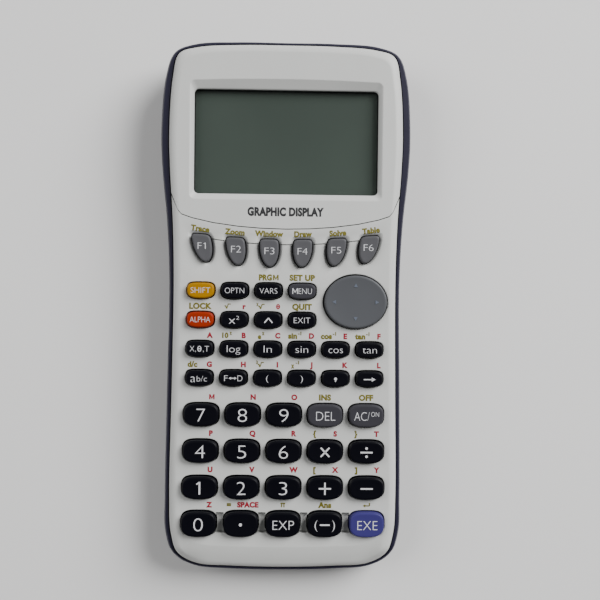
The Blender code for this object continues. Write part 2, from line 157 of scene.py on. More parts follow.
# The growth of the disc's rings: at heights above its bottom, then below its rim.
DISC_SIDE = ((-0.5, 0.0), (0.0, 0.5))
DISC_TOP = ((0.0, 0.6), (-0.08, 0.3), (-0.25, 0.1), (-0.5, 0.0), (-0.9, 0.02), (-1.6, 0.08),
            (-2.4, 0.13), (-4.0, 0.2), (-6.0, 0.25), (-7.6, 0.26))
PIVOT_HEIGHT = -3.0
PIVOT_REACH = 3.6
# The width and the thickness of a lug under the disc.
LUG = (2.4, 1.2)

# The battery well's half width and its two ends.
WELL = (22.5, 29.0, 75.6)
TRAY_WALL = 2.0
TRAY_FLOOR = ((-28.5, 22.0, 1.0), (28.5, 83.0, 3.6))
TRAY_TOP = 12.2
COVER = {"half_width": 26.7, "start": 24.3, "bottom": 0.1, "top": 1.5}
GRIP = {"count": 7, "start": 7.0, "pitch": 1.6, "reach": 11.0, "taper": 0.9, "depth": 0.55}
ARROW = {"half_width": 3.2, "start": 21.5, "end": 25.0, "depth": 0.4}
POCKET = {"start": 9.5, "pitch": (12.4, 13.6), "half": (5.6, 6.2), "depth": 0.4}

SCREW_PLACES = ((-29.5, -76.0), (29.5, -76.0), (-32.3, -22.0), (32.3, -22.0),
                (-33.4, 66.0), (33.4, 66.0))
# The radius and the depth of a screw's recess.
SCREW_RECESS = (2.9, 1.5)
# The radius and the height of each ring of a screw's head, from its rim to its crown.
SCREW_HEAD = ((2.0, 1.45), (2.2, 1.3), (2.25, 0.95), (2.1, 0.66), (1.75, 0.42), (1.2, 0.27),
              (0.6, 0.2))
# The half length, half width and depth of the cross in a screw's head.
SCREW_CROSS = (1.25, 0.26, 0.85)
SCREW_TURN = 0.7
# The link socket's x, z and radius, the reset hole's x, y and radius, and the label's half
# width and its two ends.
LINK_SOCKET = (-17.0, 6.6, 1.75)
RESET_HOLE = (21.0, 14.0, 1.5)
LABEL = (24.0, -52.0, -24.0)

# The title is a word too. The labels of a key with a word for its letter stand further left.
TITLE = ("GRAPHIC DISPLAY", 0.0, 31.7, 2.5, 25.0)
SPACE_LABELS = (-3.9, 2.3)
LABEL_HEIGHT = 1.65
LONE_LABEL_HEIGHT = 1.75
LETTER_HEIGHT = 1.6
LEGEND_PROUD = -0.005
LEGEND_DEPTH = 0.12
INK_ROOT = 0.05
ARROW_INSET = 2.6
ARROW_LENGTH = 1.2

# The profile of a cell: how much less than its radius, and how far along from its foot or
# short of its tip, then the radii of its positive cap.
CELL_FOOT = ((1.7, 0), (1.5, 0.12), (0.6, 0.15), (0.25, 0.25), (0.05, 0.5), (0, 0.8))
CELL_SHOULDER = ((0, 2.3), (0.06, 2.05), (0.3, 1.8), (0.9, 1.6))
CELL_CAP = ((2.4, 1.5), (1.9, 1.3), (1.85, 0.3), (1.7, 0.08), (1.4, 0))
SPRING = {"turns": 3, "wide": 3.6, "narrow": 1.4, "rise": 0.4, "wire": 0.2, "start": 0.27,
          "points": 96}

# What is printed on each cap. A word is (text, x, y, height of its capitals, width), a bar is
# (x, y) to (x, y) with a width, a dot has a radius, and a tip is an arrowhead with its length
# and its direction in degrees. An em and a theta are drawn marks with height, width and stroke.
# The words that fill a cap by themselves are grouped by their place and height.
CAP_WORDS = (
    (0, 0, 2.2, {"F2": 3.2, "F3": 3.2, "F4": 3.2, "F5": 3.2, "F6": 3.2}),
    (0, 0.1, 1.85, {"SHIFT": 6.3, "OPTN": 6.3, "VARS": 5.8, "ALPHA": 6.6}),
    (0, 0.1, 1.9, {"EXIT": 5.4}),
    (0, 0.2, 2.35, {"log": 4.4, "ln": 2.6, "sin": 4.1, "cos": 4.7, "tan": 4.7}),
    (0, 0, 4.4, {"7": 2.8, "8": 3.0, "9": 3.0, "4": 3.2, "5": 2.9, "6": 3.0, "2": 2.9, "3": 2.7,
                 "0": 3.1}),
    (0.2, -0.1, 3.0, {"DEL": 6.3}),
    (0.2, -0.1, 3.1, {"EXP": 7.0, "EXE": 6.6}),
)
CAP_MARKS = {
    "f1": (("word", "F", -0.9, 0, 2.2, 1.25), ("bar", 0.95, -1.0, 0.95, 1.0, 0.28),
           ("bar", 0.98, 0.98, 0.45, 0.6, 0.22)),
    "menu": (("em", -2.35, 0.1, 1.85, 1.75, 0.24), ("word", "ENU", 0.95, 0.1, 1.85, 4.3)),
    "square": (("word", "x", -0.65, 0.1, 2.7, 2.1), ("word", "2", 1.15, 0.75, 1.25, 0.95)),
    "power": (("bar", -1.2, -0.8, 0.1, 0.75, 0.38), ("bar", 0.1, 0.75, 1.4, -0.8, 0.38)),
    "xtt": (("word", "X,", -2.15, 0.1, 1.9, 2.0), ("theta", 0, 0.1, 1.9, 1.3, 0.24),
            ("word", ",T", 2.15, 0.1, 1.9, 2.0)),
    "fraction": (("word", "a", -1.9, 0.15, 2.9, 1.6), ("word", "b/c", 0.95, -0.1, 1.9, 3.3)),
    "f_d": (("word", "F", -2.35, 0.1, 1.95, 1.15), ("word", "D", 2.2, 0.1, 1.95, 1.6),
            ("bar", -0.9, 0.1, 0.7, 0.1, 0.26), ("tip", -1.5, 0.1, 0.8, 180),
            ("tip", 1.15, 0.1, 0.8, 0)),
    "paren_open": (("word", "(", -0.05, 0.25, 2.0, 0.75),),
    "paren_close": (("word", ")", 0.05, 0.25, 2.0, 0.75),),
    "comma": (("dot", 0, 0.1, 0.48), ("bar", 0.3, 0.0, -0.15, -0.85, 0.28)),
    "store": (("bar", -1.9, 0, 1.0, 0, 0.34), ("tip", 1.95, 0, 1.25, 0)),
    "1": (("bar", 0.15, -2.05, 0.15, 2.05, 0.55), ("bar", 0.2, 2.0, -0.85, 1.25, 0.42)),
    "ac_on": (("word", "AC/", -1.45, -0.1, 2.9, 5.0), ("word", "ON", 2.85, 0.6, 1.6, 2.6)),
    "multiply": (("bar", -1.4, -1.5, 1.4, 1.5, 0.5), ("bar", -1.4, 1.5, 1.4, -1.5, 0.5)),
    "divide": (("bar", -2.0, 0, 2.0, 0, 0.5), ("dot", 0, 1.35, 0.42), ("dot", 0, -1.35, 0.42)),
    "plus": (("bar", -2.0, 0, 2.0, 0, 0.5), ("bar", 0, -2.0, 0, 2.0, 0.5)),
    "minus": (("bar", -2.0, 0, 2.0, 0, 0.5),),
    "point": (("dot", 0, 0, 0.52),),
    "negate": (("word", "(", -2.85, 0.2, 3.0, 0.95), ("word", ")", 2.85, 0.2, 3.0, 0.95),
               ("bar", -1.6, 0, 1.6, 0, 0.48)),
}
CAP_MARKS |= {
    text.lower(): (("word", text, x, y, height, width),)
    for x, y, height, widths in CAP_WORDS for text, width in widths.items()
}
# Labels on the face that are drawn from marks, as their letters can't be made bold cleanly.
ROOT = (("bar", -0.95, 0.0, -0.6, 0.2, 0.34), ("bar", -0.6, 0.2, -0.2, -0.8, 0.42),
        ("bar", -0.2, -0.8, 0.3, 0.75, 0.34), ("bar", 0.25, 0.7, 1.1, 0.7, 0.34))
DRAWN_LABELS = {
    "√": ROOT,
    "ˣ√": (("word", "x", -1.25, 0.85, 1.25, 0.75),) + ROOT,
    "∛": (("word", "3", -1.2, 0.75, 1.0, 0.6),) + ROOT,
    "10ˣ": (("word", "10", -0.55, 0.0, 1.55), ("word", "x", 1.25, 0.85, 1.3, 0.85)),
    "eˣ": (("word", "e", -0.45, -0.25, 1.6, 1.1), ("word", "x", 0.75, 0.85, 1.3, 0.85)),
    "x⁻¹": (("word", "x", -0.6, -0.25, 1.6, 1.1), ("word", "-1", 0.95, 0.75, 1.0)),
    "sin⁻¹": (("word", "sin", -0.7, 0.0, 1.7), ("word", "-1", 1.6, 0.8, 1.05)),
    "cos⁻¹": (("word", "cos", -0.7, 0.0, 1.7), ("word", "-1", 1.9, 0.8, 1.05)),
    "tan⁻¹": (("word", "tan", -0.7, 0.0, 1.7), ("word", "-1", 1.8, 0.8, 1.05)),
    "π": (("bar", -0.8, 0.5, 0.8, 0.5, 0.4), ("bar", -0.35, 0.5, -0.45, -0.8, 0.4),
          ("bar", 0.35, 0.5, 0.4, -0.8, 0.4)),
    "↵": (("bar", 1.0, 0.75, 1.0, -0.3, 0.4), ("bar", 1.0, -0.25, -0.6, -0.25, 0.4),
          ("tip", -1.3, -0.25, 0.9, 180)),
    "PRGM": (("word", "PRG", -1.05, 0, 1.75, 4.3), ("em", 2.35, 0, 1.8, 1.85, 0.46)),
    "M": (("em", 0, 0, 1.7, 1.8, 0.46),),
    "θ": (("theta", 0, 0, 1.75, 1.3, 0.4),),
}
# What is printed above the keys: the shifted meaning in olive, the letter in red.
SHIFTED = {
    "f1": "Trace", "f2": "Zoom", "f3": "Window", "f4": "Draw", "f5": "Solve", "f6": "Table",
    "vars": "PRGM", "menu": "SET UP", "alpha": "LOCK", "square": "√", "power": "ˣ√", "exit": "QUIT",
    "log": "10ˣ", "ln": "eˣ", "sin": "sin⁻¹", "cos": "cos⁻¹", "tan": "tan⁻¹", "fraction": "d/c",
    "paren_open": "∛", "paren_close": "x⁻¹", "del": "INS", "ac_on": "OFF", "multiply": "{",
    "divide": "}", "plus": "[", "minus": "]", "point": "=", "exp": "π", "negate": "Ans", "exe": "↵",
}
LETTERS = {
    "square": "r", "power": "θ", "xtt": "A", "log": "B", "ln": "C", "sin": "D", "cos": "E", "tan": "F",
    "fraction": "G", "f_d": "H", "paren_open": "I", "paren_close": "J", "comma": "K", "store": "L",
    "7": "M", "8": "N", "9": "O", "4": "P", "5": "Q", "6": "R", "multiply": "S", "divide": "T",
    "1": "U", "2": "V", "3": "W", "plus": "X", "minus": "Y", "0": "Z", "point": "SPACE",
}


# ---------------------------------------------------------------- outlines

def smooth_closed(points, steps):
    """Points along a smooth closed curve through the given ones."""
    count = len(points)
    at = [Vector(p) for p in points]
    chord = [(at[(i + 1) % count] - at[i]).length ** 0.5 for i in range(count)]
    slope = []
    for i in range(count):
        before, after = chord[i - 1], chord[i]
        into = (at[i] - at[i - 1]) / before
        out = (at[(i + 1) % count] - at[i]) / after
        slope.append((into * after + out * before) / (before + after))
    found = []
    for i in range(count):
        j = (i + 1) % count
        for step in range(steps):
            t = step / steps
            found.append(
                at[i] * (2 * t**3 - 3 * t**2 + 1)
                + slope[i] * (chord[i] * (t**3 - 2 * t**2 + t))
                + at[j] * (3 * t**2 - 2 * t**3)
                + slope[j] * (chord[i] * (t**3 - t**2))
            )
    return [(p.x, p.y) for p in found]


def mirrored(half):
    return list(half) + [(-x, y) for x, y in reversed(half[1:-1])]


REAR_OUTLINE = smooth_closed(mirrored(REAR_HALF), OUTLINE_STEPS)
FRONT_OUTLINE = smooth_closed(mirrored(FRONT_HALF), OUTLINE_STEPS)


def inset(outline, distance):
    """The outline drawn in by about this distance, evenly on all sides."""
    wide = max(x for x, _ in outline)
    long = max(y for _, y in outline)
    return [(x * (1 - distance / wide), y * (1 - distance / long)) for x, y in outline]


def apron(y):
    """How far the front edge has dropped at y: nothing on the face, all of it at the end."""
    t = min(max((APRON_START - y) / 5.0, 0.0), 1.0)
    return APRON_DROP * t * t * (3 - 2 * t)


def at_height(outline, h):
    return [(x, y, h - apron(y)) for x, y in outline]


def level(outline, z):
    return [(x, y, z) for x, y in outline]


def to_base(points):
    """Points of the face's frame given in the base's frame."""
    return [tuple(FACE @ Vector(p)) for p in points]


def superellipse(width, top, bottom, squareness, count):
    """An outline whose upper and lower halves have their own height and squareness."""
    points = []
    for k in range(count):
        turn = 2 * math.pi * k / count
        across, up = math.cos(turn), math.sin(turn)
        power = 2 / squareness[0 if up >= 0 else 1]
        reach = top if up >= 0 else bottom
        points.append((
            math.copysign(abs(across) ** power, across) * width / 2,
            math.copysign(abs(up) ** power, up) * reach,
        ))
    return points


def rounded_box(half_width, low, high, radius, per_corner=7, centre_x=0.0):
    """A rectangle with round corners, anticlockwise."""
    points = []
    for side, y, first in ((1, low, -90), (1, high, 0), (-1, high, 90), (-1, low, 180)):
        middle_y = y + radius if y == low else y - radius
        for k in range(per_corner):
            turn = math.radians(first + 90 * k / (per_corner - 1))
            points.append((
                centre_x + side * (half_width - radius) + radius * math.cos(turn),
                middle_y + radius * math.sin(turn),
            ))
    return points


def circle(radius, count, centre=(0.0, 0.0)):
    turns = [2 * math.pi * k / count for k in range(count)]
    return [(centre[0] + radius * math.cos(t), centre[1] + radius * math.sin(t)) for t in turns]


def moved(outline, centre):
    return [(x + centre[0], y + centre[1]) for x, y in outline]


# ---------------------------------------------------------------- meshes

class Solid:
    """One mesh skinned from rings of points in millimetres."""

    def __init__(self, place=None):
        self.mesh = bmesh.new()
        self.place = place or Matrix.Identity(4)

    def ring(self, points):
        return [self.mesh.verts.new((self.place @ Vector(p)) * MM) for p in points]

    def band(self, lower, upper):
        count = len(lower)
        for i in range(count):
            j = (i + 1) % count
            self.mesh.faces.new((lower[i], lower[j], upper[j], upper[i]))

    def bands(self, rings):
        for lower, upper in zip(rings, rings[1:]):
            self.band(lower, upper)

    def cap(self, ring):
        self.mesh.faces.new(ring)

    def fill(self, *rings):
        """A flat face between an outer ring and the holes inside it."""
        edges = []
        for ring in rings:
            for i, vert in enumerate(ring):
                pair = (vert, ring[(i + 1) % len(ring)])
                edges.append(self.mesh.edges.get(pair) or self.mesh.edges.new(pair))
        bmesh.ops.triangle_fill(self.mesh, use_beauty=True, edges=edges)

    def stack(self, outlines):
        """A closed solid through a stack of outlines, capped at both ends."""
        rings = [self.ring(points) for points in outlines]
        self.bands(rings)
        self.cap(rings[0])
        self.cap(rings[-1])

    def loop(self, outlines):
        """A closed ring-shaped solid, whose last outline joins its first."""
        rings = [self.ring(points) for points in outlines]
        self.bands(rings + rings[:1])

    def turn(self, profile, count=40):
        """A turned solid through (radius, height) pairs."""
        self.stack([level(circle(radius, count), h) for radius, h in profile])

    def finish(self, name, finish=None):
        bmesh.ops.recalc_face_normals(self.mesh, faces=self.mesh.faces)
        piece = new_object(name, mesh_data(name, self.mesh), finish)
        shade(piece.data)
        return piece


def mesh_data(name, mesh):
    data = bpy.data.meshes.new(name)
    mesh.to_mesh(data)
    mesh.free()
    return data


def new_object(name, data, finish=None):
    piece = bpy.data.objects.new(name, data)
    bpy.context.scene.collection.objects.link(piece)
    if finish:
        data.materials.append(finish)
    return piece


def shade(data):
    """Smooth shading, apart from the real edges."""
    data.shade_smooth()
    data.set_sharp_from_angle(angle=math.radians(SHARP_ANGLE))


def apply_tools(piece, tools):
    """Adds or cuts with each (operation, tool) in turn, and removes the tools."""
    for operation, tool in tools:
        modifier = piece.modifiers.new(tool.name, "BOOLEAN")
        modifier.operation = operation
        modifier.solver = "EXACT"
        modifier.object = tool
    evaluated = piece.evaluated_get(bpy.context.evaluated_depsgraph_get())
    data = bpy.data.meshes.new_from_object(evaluated)
    piece.modifiers.clear()
    old, piece.data = piece.data, data
    data.name = piece.name
    bpy.data.meshes.remove(old)
    for _, tool in tools:
        bpy.data.objects.remove(tool)
    shade(data)
    return piece


def block(name, low, high, place=None):
    """A plain tool block between two corners."""
    corners = [(low[0], low[1]), (high[0], low[1]), (high[0], high[1]), (low[0], high[1])]
    solid = Solid(place)
    solid.stack([level(corners, low[2]), level(corners, high[2])])
    return solid.finish(name)


def prism(name, outline, low, high, place=None):
    solid = Solid(place)
    solid.stack([level(outline, low), level(outline, high)])
    return solid.finish(name)


def cut(*prism_values):
    """A cut with a prism, for apply_tools."""
    return "DIFFERENCE", prism(*prism_values)


def lying(x, z, side=1):
    """A place at x, z whose height runs towards -y, or towards +y where side is -1."""
    return Matrix.Translation((x, 0, z)) @ Matrix.Rotation(side * math.pi / 2, 4, "X")


def centre_of(node):
    """The middle of a node's box, in millimetres."""
    low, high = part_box(node)
    return [(a + b) / 2 / MM for a, b in zip(low, high)]


def flat_y(y, h):
    """The face's own y for a point at y in the base's frame and at height h above the face."""
    return y / math.cos(FACE_TILT) + h * math.tan(FACE_TILT)


def settle(piece, body=CASE, replaces=None):
    """Hands a finished piece to the frame."""
    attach(piece, body)
    if replaces:
        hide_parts(replaces)
    return piece


def repaint(node, finish):
    """Gives a CAD solid whose shape is already right its finish."""
    data = frame["nodes"][node].data
    data.materials.clear()
    data.materials.append(finish)


# ---------------------------------------------------------------- shader maths

class Wire:
    """A value in a node tree. Arithmetic on it adds Math nodes."""

    def __init__(self, tree, socket):
        self.tree = tree
        self.socket = socket

    def math(self, operation, first, second=0.0):
        node = self.tree.nodes.new("ShaderNodeMath")
        node.operation = operation
        for socket, value in zip(node.inputs, (first, second)):
            if isinstance(value, Wire):
                self.tree.links.new(value.socket, socket)
            else:
                socket.default_value = value
        return Wire(self.tree, node.outputs[0])

    def __add__(self, other):
        return self.math("ADD", self, other)

    def __radd__(self, other):
        return self.math("ADD", other, self)

    def __sub__(self, other):
        return self.math("SUBTRACT", self, other)

    def __rsub__(self, other):
        return self.math("SUBTRACT", other, self)

    def __mul__(self, other):
        return self.math("MULTIPLY", self, other)

    def __rmul__(self, other):
        return self.math("MULTIPLY", other, self)

    def __gt__(self, other):
        return self.math("GREATER_THAN", self, other)

    def __lt__(self, other):
        return self.math("LESS_THAN", self, other)

    def fraction(self):
        return self.math("FRACT", self)

    def clamped(self):
        return self.math("MINIMUM", self.math("MAXIMUM", self, 0.0), 1.0)


class Finish:
    """A procedural material: a Principled shader whose constants are set on its own sockets."""

    def __init__(self, name, colour, roughness, **constants):
        self.material = bpy.data.materials.new(name)
        self.material.use_nodes = True
        self.tree = self.material.node_tree
        self.shader = self.tree.nodes["Principled BSDF"]
        self.shader.inputs["Base Color"].default_value = (*colour, 1.0)
        self.shader.inputs["Roughness"].default_value = roughness
        for socket, value in constants.items():
            self.shader.inputs[socket.replace("_", " ")].default_value = value

    def node(self, kind, inputs=None, output=0, **settings):
        """Adds one node: its settings first, then the values or links of its sockets."""
        node = self.tree.nodes.new("ShaderNode" + kind)
        for name, value in settings.items():
            setattr(node, name, value)
        for socket, value in (inputs or {}).items():
            if isinstance(value, Wire):
                self.tree.links.new(value.socket, node.inputs[socket])
            else:
                node.inputs[socket].default_value = value
        return Wire(self.tree, node.outputs[output])

    def feed(self, socket, wire):
        self.tree.links.new(wire.socket, self.shader.inputs[socket])

    def place(self):
        return self.node("TexCoord", output=3)

    def axes(self):
        """The object's x, y and z, in metres."""
        parts = self.node("SeparateXYZ", {0: self.place()}).socket.node
        return [Wire(self.tree, output) for output in parts.outputs]

    def noise(self, size_mm, detail=2.0):
        scale = 1000.0 / size_mm
        return self.node("TexNoise", {"Vector": self.place(), "Scale": scale, "Detail": detail})

    def mix(self, factor, first, second):
        """Between two colours, each a tuple or a wire."""
        values = [(*v, 1.0) if isinstance(v, tuple) else v for v in (first, second)]
        return self.node(
            "Mix", {0: factor, 6: values[0], 7: values[1]}, output=2, data_type="RGBA")

    def bump(self, height, depth_mm):
        inputs = {"Height": height, "Distance": depth_mm * MM, "Strength": 1.0}
        self.feed("Normal", self.node("Bump", inputs))


def tint(colour, factor):
    return tuple(min(c * factor, 1.0) for c in colour)


def moulded(name, colour, roughness, grain=0.35, depth=0.012, mottle=0.06, **constants):
    """Injection-moulded plastic: fine spark grain, faint flow mottling and uneven sheen."""
    finish = Finish(name, colour, roughness, **constants)
    cloud = finish.noise(14.0, 4.0)
    fine = finish.noise(grain, 3.0)
    tone = (cloud * 0.7 + fine * 0.3).clamped()
    finish.feed("Base Color", finish.mix(tone, tint(colour, 1 - mottle), tint(colour, 1 + mottle)))
    finish.feed("Roughness", (fine * 0.14 + cloud * 0.10 + (roughness - 0.12)).clamped())
    finish.bump(fine, depth)
    return finish.material


def ink(name, colour):
    """Pad-printed ink, a little thin in places."""
    finish = Finish(name, colour, 0.55)
    speckle = finish.noise(0.22, 2.0)
    finish.feed("Base Color", finish.mix(speckle, tint(colour, 0.86), tint(colour, 1.1)))
    finish.feed("Roughness", (speckle * 0.2 + 0.45).clamped())
    return finish.material


def window_glass(name, colour):
    """Clear cover plate: mostly see-through, with a polished surface."""
    finish = Finish(name, colour, 0.06, Alpha=0.12, Specular_IOR_Level=0.5)
    smear = finish.noise(20.0, 3.0)
    finish.feed("Roughness", smear * 0.05 + 0.04)
    return finish.material


def display_glass(name, colour):
    """Unlit liquid-crystal panel: dark grey-green, a faint dot grid, a soft unevenness, and painted
    shade that darkens it towards the top.
    """
    finish = Finish(name, colour, 0.32, Specular_IOR_Level=0.35)
    x, y, _ = finish.axes()
    pitch = 0.46 * MM
    lines = ((x * (1 / pitch)).fraction() < 0.14) + ((y * (1 / pitch)).fraction() < 0.14)
    cloud = finish.noise(24.0, 3.0)
    low, high = OPENING_BOTTOM[1] * MM, OPENING_BOTTOM[2] * MM
    # Painted shade: the panel is darkened steadily towards the top of the window, standing in for the
    # shade the bezel's recess casts there.
    rise = ((y - low) * (1 / (high - low))).clamped()
    tone = (0.75 + cloud * 0.3 - rise * 0.25 - lines.clamped() * 0.10).clamped()
    finish.feed("Base Color", finish.mix(tone, tint(colour, 0.6), tint(colour, 1.15)))
    finish.feed("Roughness", cloud * 0.12 + 0.26)
    return finish.material


def brushed_steel(name, colour, roughness):
    finish = Finish(name, colour, roughness, Metallic=1.0)
    scratch = finish.noise(0.15, 4.0)
    finish.feed("Roughness", scratch * 0.2 + (roughness - 0.1))
    finish.bump(scratch, 0.004)
    return finish.material


def solder_mask(name, colour):
    """Circuit board: copper tracks showing under green lacquer, and tinned pads."""
    finish = Finish(name, colour, 0.35, Coat_Weight=0.3)
    x, y, _ = finish.axes()
    blocks = finish.node("TexVoronoi", {"Vector": finish.place(), "Scale": 260.0}, output=0,
                         feature="F1", distance="CHEBYCHEV")
    tracks = ((x * 620.0 + (blocks * 2.2)).fraction() < 0.34)
    pads = ((x * 390.0).fraction() < 0.16) * ((y * 330.0).fraction() < 0.16)
    base = finish.mix(tracks, colour, tint(colour, 1.7))
    finish.feed("Base Color", finish.mix(pads, base, (0.62, 0.60, 0.55)))
    finish.feed("Metallic", pads * 0.9)
    finish.feed("Roughness", 0.42 - tracks * 0.08)
    finish.bump(tracks, 0.02)
    return finish.material


def cell_sleeve(name, colour):
    """Printed sleeve of a dry cell: a dark body with a coloured collar at the positive end."""
    finish = Finish(name, colour, 0.3, Metallic=0.35)
    _, y, _ = finish.axes()
    start, body = 30.0 * MM, 43.5 * MM
    along = (y - start) * (1 / body)
    collar = along > 0.72
    bare = (along > 0.985) + (along < 0.015)
    printed = finish.mix(collar, (0.035, 0.035, 0.042), colour)
    finish.feed("Base Color", finish.mix(bare.clamped(), printed, (0.62, 0.62, 0.63)))
    finish.feed("Metallic", (bare * 0.9 + 0.2).clamped())
    finish.feed("Roughness", finish.noise(0.8, 3.0) * 0.12 + 0.24)
    return finish.material


def rubber_sheet(name, colour):
    finish = Finish(name, colour, 0.75)
    fine = finish.noise(0.5, 3.0)
    finish.feed("Base Color", finish.mix(fine, tint(colour, 0.85), tint(colour, 1.1)))
    finish.feed("Roughness", fine * 0.2 + 0.62)
    finish.bump(fine, 0.02)
    return finish.material


def desk(name, colour):
    finish = Finish(name, colour, 0.7)
    soft = finish.noise(160.0, 3.0)
    fine = finish.noise(1.4, 4.0)
    tone = soft * 0.7 + fine * 0.3
    finish.feed("Base Color", finish.mix(tone, tint(colour, 0.985), tint(colour, 1.015)))
    finish.feed("Roughness", fine * 0.2 + 0.6)
    return finish.material


# ---------------------------------------------------------------- settings

def colour_property(name, description, default):
    return bpy.props.FloatVectorProperty(
        name=name, description=description, default=default, subtype="COLOR", min=0.0, max=1.0)


def number_property(name, description, default, unit="NONE"):
    return bpy.props.FloatProperty(name=name, description=description, default=default, unit=unit)


def length_property(name, description, default):
    return number_property(name, description, default * MM, "LENGTH")


class CalculatorBody(bpy.types.PropertyGroup):
    face_colour: colour_property(
        "Face", "Pale grey plastic of the keypad face and bezel", (0.52, 0.525, 0.51))
    back_colour: colour_property(
        "Back", "Navy plastic of the rear case", (0.011, 0.010, 0.026))
    display_colour: colour_property(
        "Display", "Unlit liquid-crystal panel", (0.060, 0.081, 0.067))
    border: length_property("Display border", "Black edge printed round the display", 0.3)
    roll: length_property("Edge roll", "Width of the rounded edge of the face", 2.6)
    hole_rim: length_property("Hole rim", "Rounding round each key hole", 0.2)
    bevel: length_property("Bevel", "Width of the slope round each function key", 0.8)


class CalculatorKeys(bpy.types.PropertyGroup):
    black: colour_property("Number keys", "Plastic of most keys", (0.0012, 0.0012, 0.0035))
    charcoal: colour_property("Function keys", "Plastic of F1 to F6", (0.078, 0.078, 0.084))
    graphite: colour_property("Menu keys", "Plastic of MENU, DEL and AC", (0.036, 0.035, 0.042))
    amber: colour_property("Shift key", "Plastic of SHIFT", (0.31, 0.145, 0.0))
    orange: colour_property("Alpha key", "Plastic of ALPHA", (0.25, 0.018, 0.003))
    blue: colour_property("Execute key", "Plastic of EXE", (0.036, 0.03, 0.14))
    disc: colour_property("Cursor disc", "Plastic of the cursor disc", (0.072, 0.075, 0.082))
    dish: length_property("Dish", "Depth of the hollow in each key top", 0.06)


class CalculatorPrint(bpy.types.PropertyGroup):
    white: colour_property("White ink", "Legends on the keys", (0.64, 0.64, 0.66))
    olive: colour_property("Olive ink", "Shifted labels on the face", (0.125, 0.108, 0.0))
    red: colour_property("Red ink", "Letters on the face", (0.25, 0.0, 0.013))
    black: colour_property("Black ink", "Title under the display", (0.01, 0.01, 0.012))
    worn_blue: colour_property("Worn blue ink", "Arrows on the disc", (0.088, 0.105, 0.14))
    thickness: length_property("Ink thickness", "How far print stands proud", 0.015)
    cap_weight: number_property("Legend weight", "Boldness of the legends, in ems", -0.018)
    face_weight: number_property("Label weight", "Boldness of the face labels, in ems", 0.062)
    title_weight: number_property("Title weight", "Boldness of the title, in ems", 0.06)


class CalculatorStage(bpy.types.PropertyGroup):
    floor_colour: colour_property("Floor", "Pale table top", (0.72, 0.715, 0.71))
    key_power: number_property("Key light", "Broad light on the right", 59.0, "POWER")
    fill_power: number_property("Fill light", "Soft light on the left", 21.0, "POWER")
    sky: number_property("Ambient", "Strength of the even surrounding light", 0.16)


# ---------------------------------------------------------------- front half

def kind_of(name):
    short = name[4:]
    if short in FUNCTION_KEYS:
        return FUNCTION_KEY
    if short in LAST_ROW:
        return LAST_ROW_KEY
    low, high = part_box(name)
    limit = (SMALL_KEY["width"] + LARGE_KEY["width"]) / 2 + 2 * KEY_FLANGE
    return LARGE_KEY if high[0] - low[0] > limit * MM else SMALL_KEY


def middle_of(name, kind):
    """Where a key's outline is centred in the face's frame, from the place of its solid."""
    x, y, _ = centre_of(name)
    outline = cap_outline(kind, x, KEY_FLANGE)
    middle = [(min(p[i] for p in outline) + max(p[i] for p in outline)) / 2 for i in (0, 1)]
    return x - middle[0], flat_y(y, (FLANGE_TOP + FLANGE_BOTTOM) / 2) - middle[1]


def leaning(outline, x):
    """A function key's outline: it leans towards the middle of the row, more at its ends."""
    lean, slope = -x * FUNCTION_LEAN, x * FUNCTION_SLOPE
    return [(px - lean * py, py + slope * px) for px, py in outline]


def cap_outline(kind, x, grow=0.0):
    outline = superellipse(
        kind["width"] + 2 * grow, kind["top"] + grow, kind["bottom"] + grow,
        kind["squareness"], KEY_POINTS)
    return leaning(outline, x) if kind is FUNCTION_KEY else outline


def disc_outline(grow=0.0):
    half = DISC_SIZE[1] / 2 + grow
    return superellipse(DISC_SIZE[0] + 2 * grow, half, half, (2, 2), DISC_POINTS)


def disc_centre():
    x, y, _ = centre_of("cursor_pivot")
    return x, flat_y(y, PIVOT_HEIGHT)


def all_keys():
    """Each key's name, kind and centre."""
    names = [name for name in frame["nodes"] if name.startswith("key_") and name != "key_mat"]
    return [(name, kind_of(name), middle_of(name, kind_of(name))) for name in names]


def front_shell(name, finish, holes, roll):
    """The pale shell of the front half.

    Each hole is a list of (outline, h) rings from the flat of the face down its wall.
    """
    solid = Solid(FACE)
    edge = inset(FRONT_OUTLINE, roll)
    squeeze = (APRON_START - TUCK_LINE) / (min(y for _, y in edge) - TUCK_LINE)

    def tucked(outline):
        return [(x, y if y > TUCK_LINE else TUCK_LINE + (y - TUCK_LINE) * squeeze)
                for x, y in outline]

    outer = [solid.ring(at_height(FRONT_OUTLINE, FRONT_FOOT))]
    for share, h in EDGE_ROLL:
        outer.append(solid.ring(at_height(inset(FRONT_OUTLINE, roll * share), h)))
    outer.append(solid.ring(level(tucked(edge), 0.0)))
    outer.append(solid.ring(level(tucked(inset(FRONT_OUTLINE, roll + EDGE_FLAT)), 0.0)))
    inner = [
        solid.ring(at_height(inset(FRONT_OUTLINE, FRONT_WALL), FRONT_FOOT)),
        solid.ring(level(inset(tucked(edge), 0.4), -FACE_PLATE)),
    ]
    solid.bands(outer)
    solid.bands(inner)
    solid.band(inner[0], outer[0])
    tops, bottoms = [], []
    for hole in holes:
        rings = [solid.ring(level(outline, h)) for outline, h in hole]
        solid.bands(rings)
        tops.append(rings[0])
        bottoms.append(rings[-1])
    solid.fill(outer[-1], *tops)
    solid.fill(inner[-1], *bottoms)
    return solid.finish(name, finish)


def seam_block(name, above):
    """A tool that keeps what lies on the display's side of the seam, or on the keypad's."""
    side = 1 if above else -1
    extra = 0.0 if above else SEAM_SIDE_GAP
    line = [(x, y + side * (GAP / 2 + (extra if x > SEAM_SIDE else 0.0))) for x, y in SEAM_HALF]
    across = [(-x, y) for x, y in reversed(line[1:])] + line
    end = line[-1][0]
    outline = across + [(end, 120 * side), (-end, 120 * side)]
    return "INTERSECT", prism(name, outline, -15, 5, FACE)


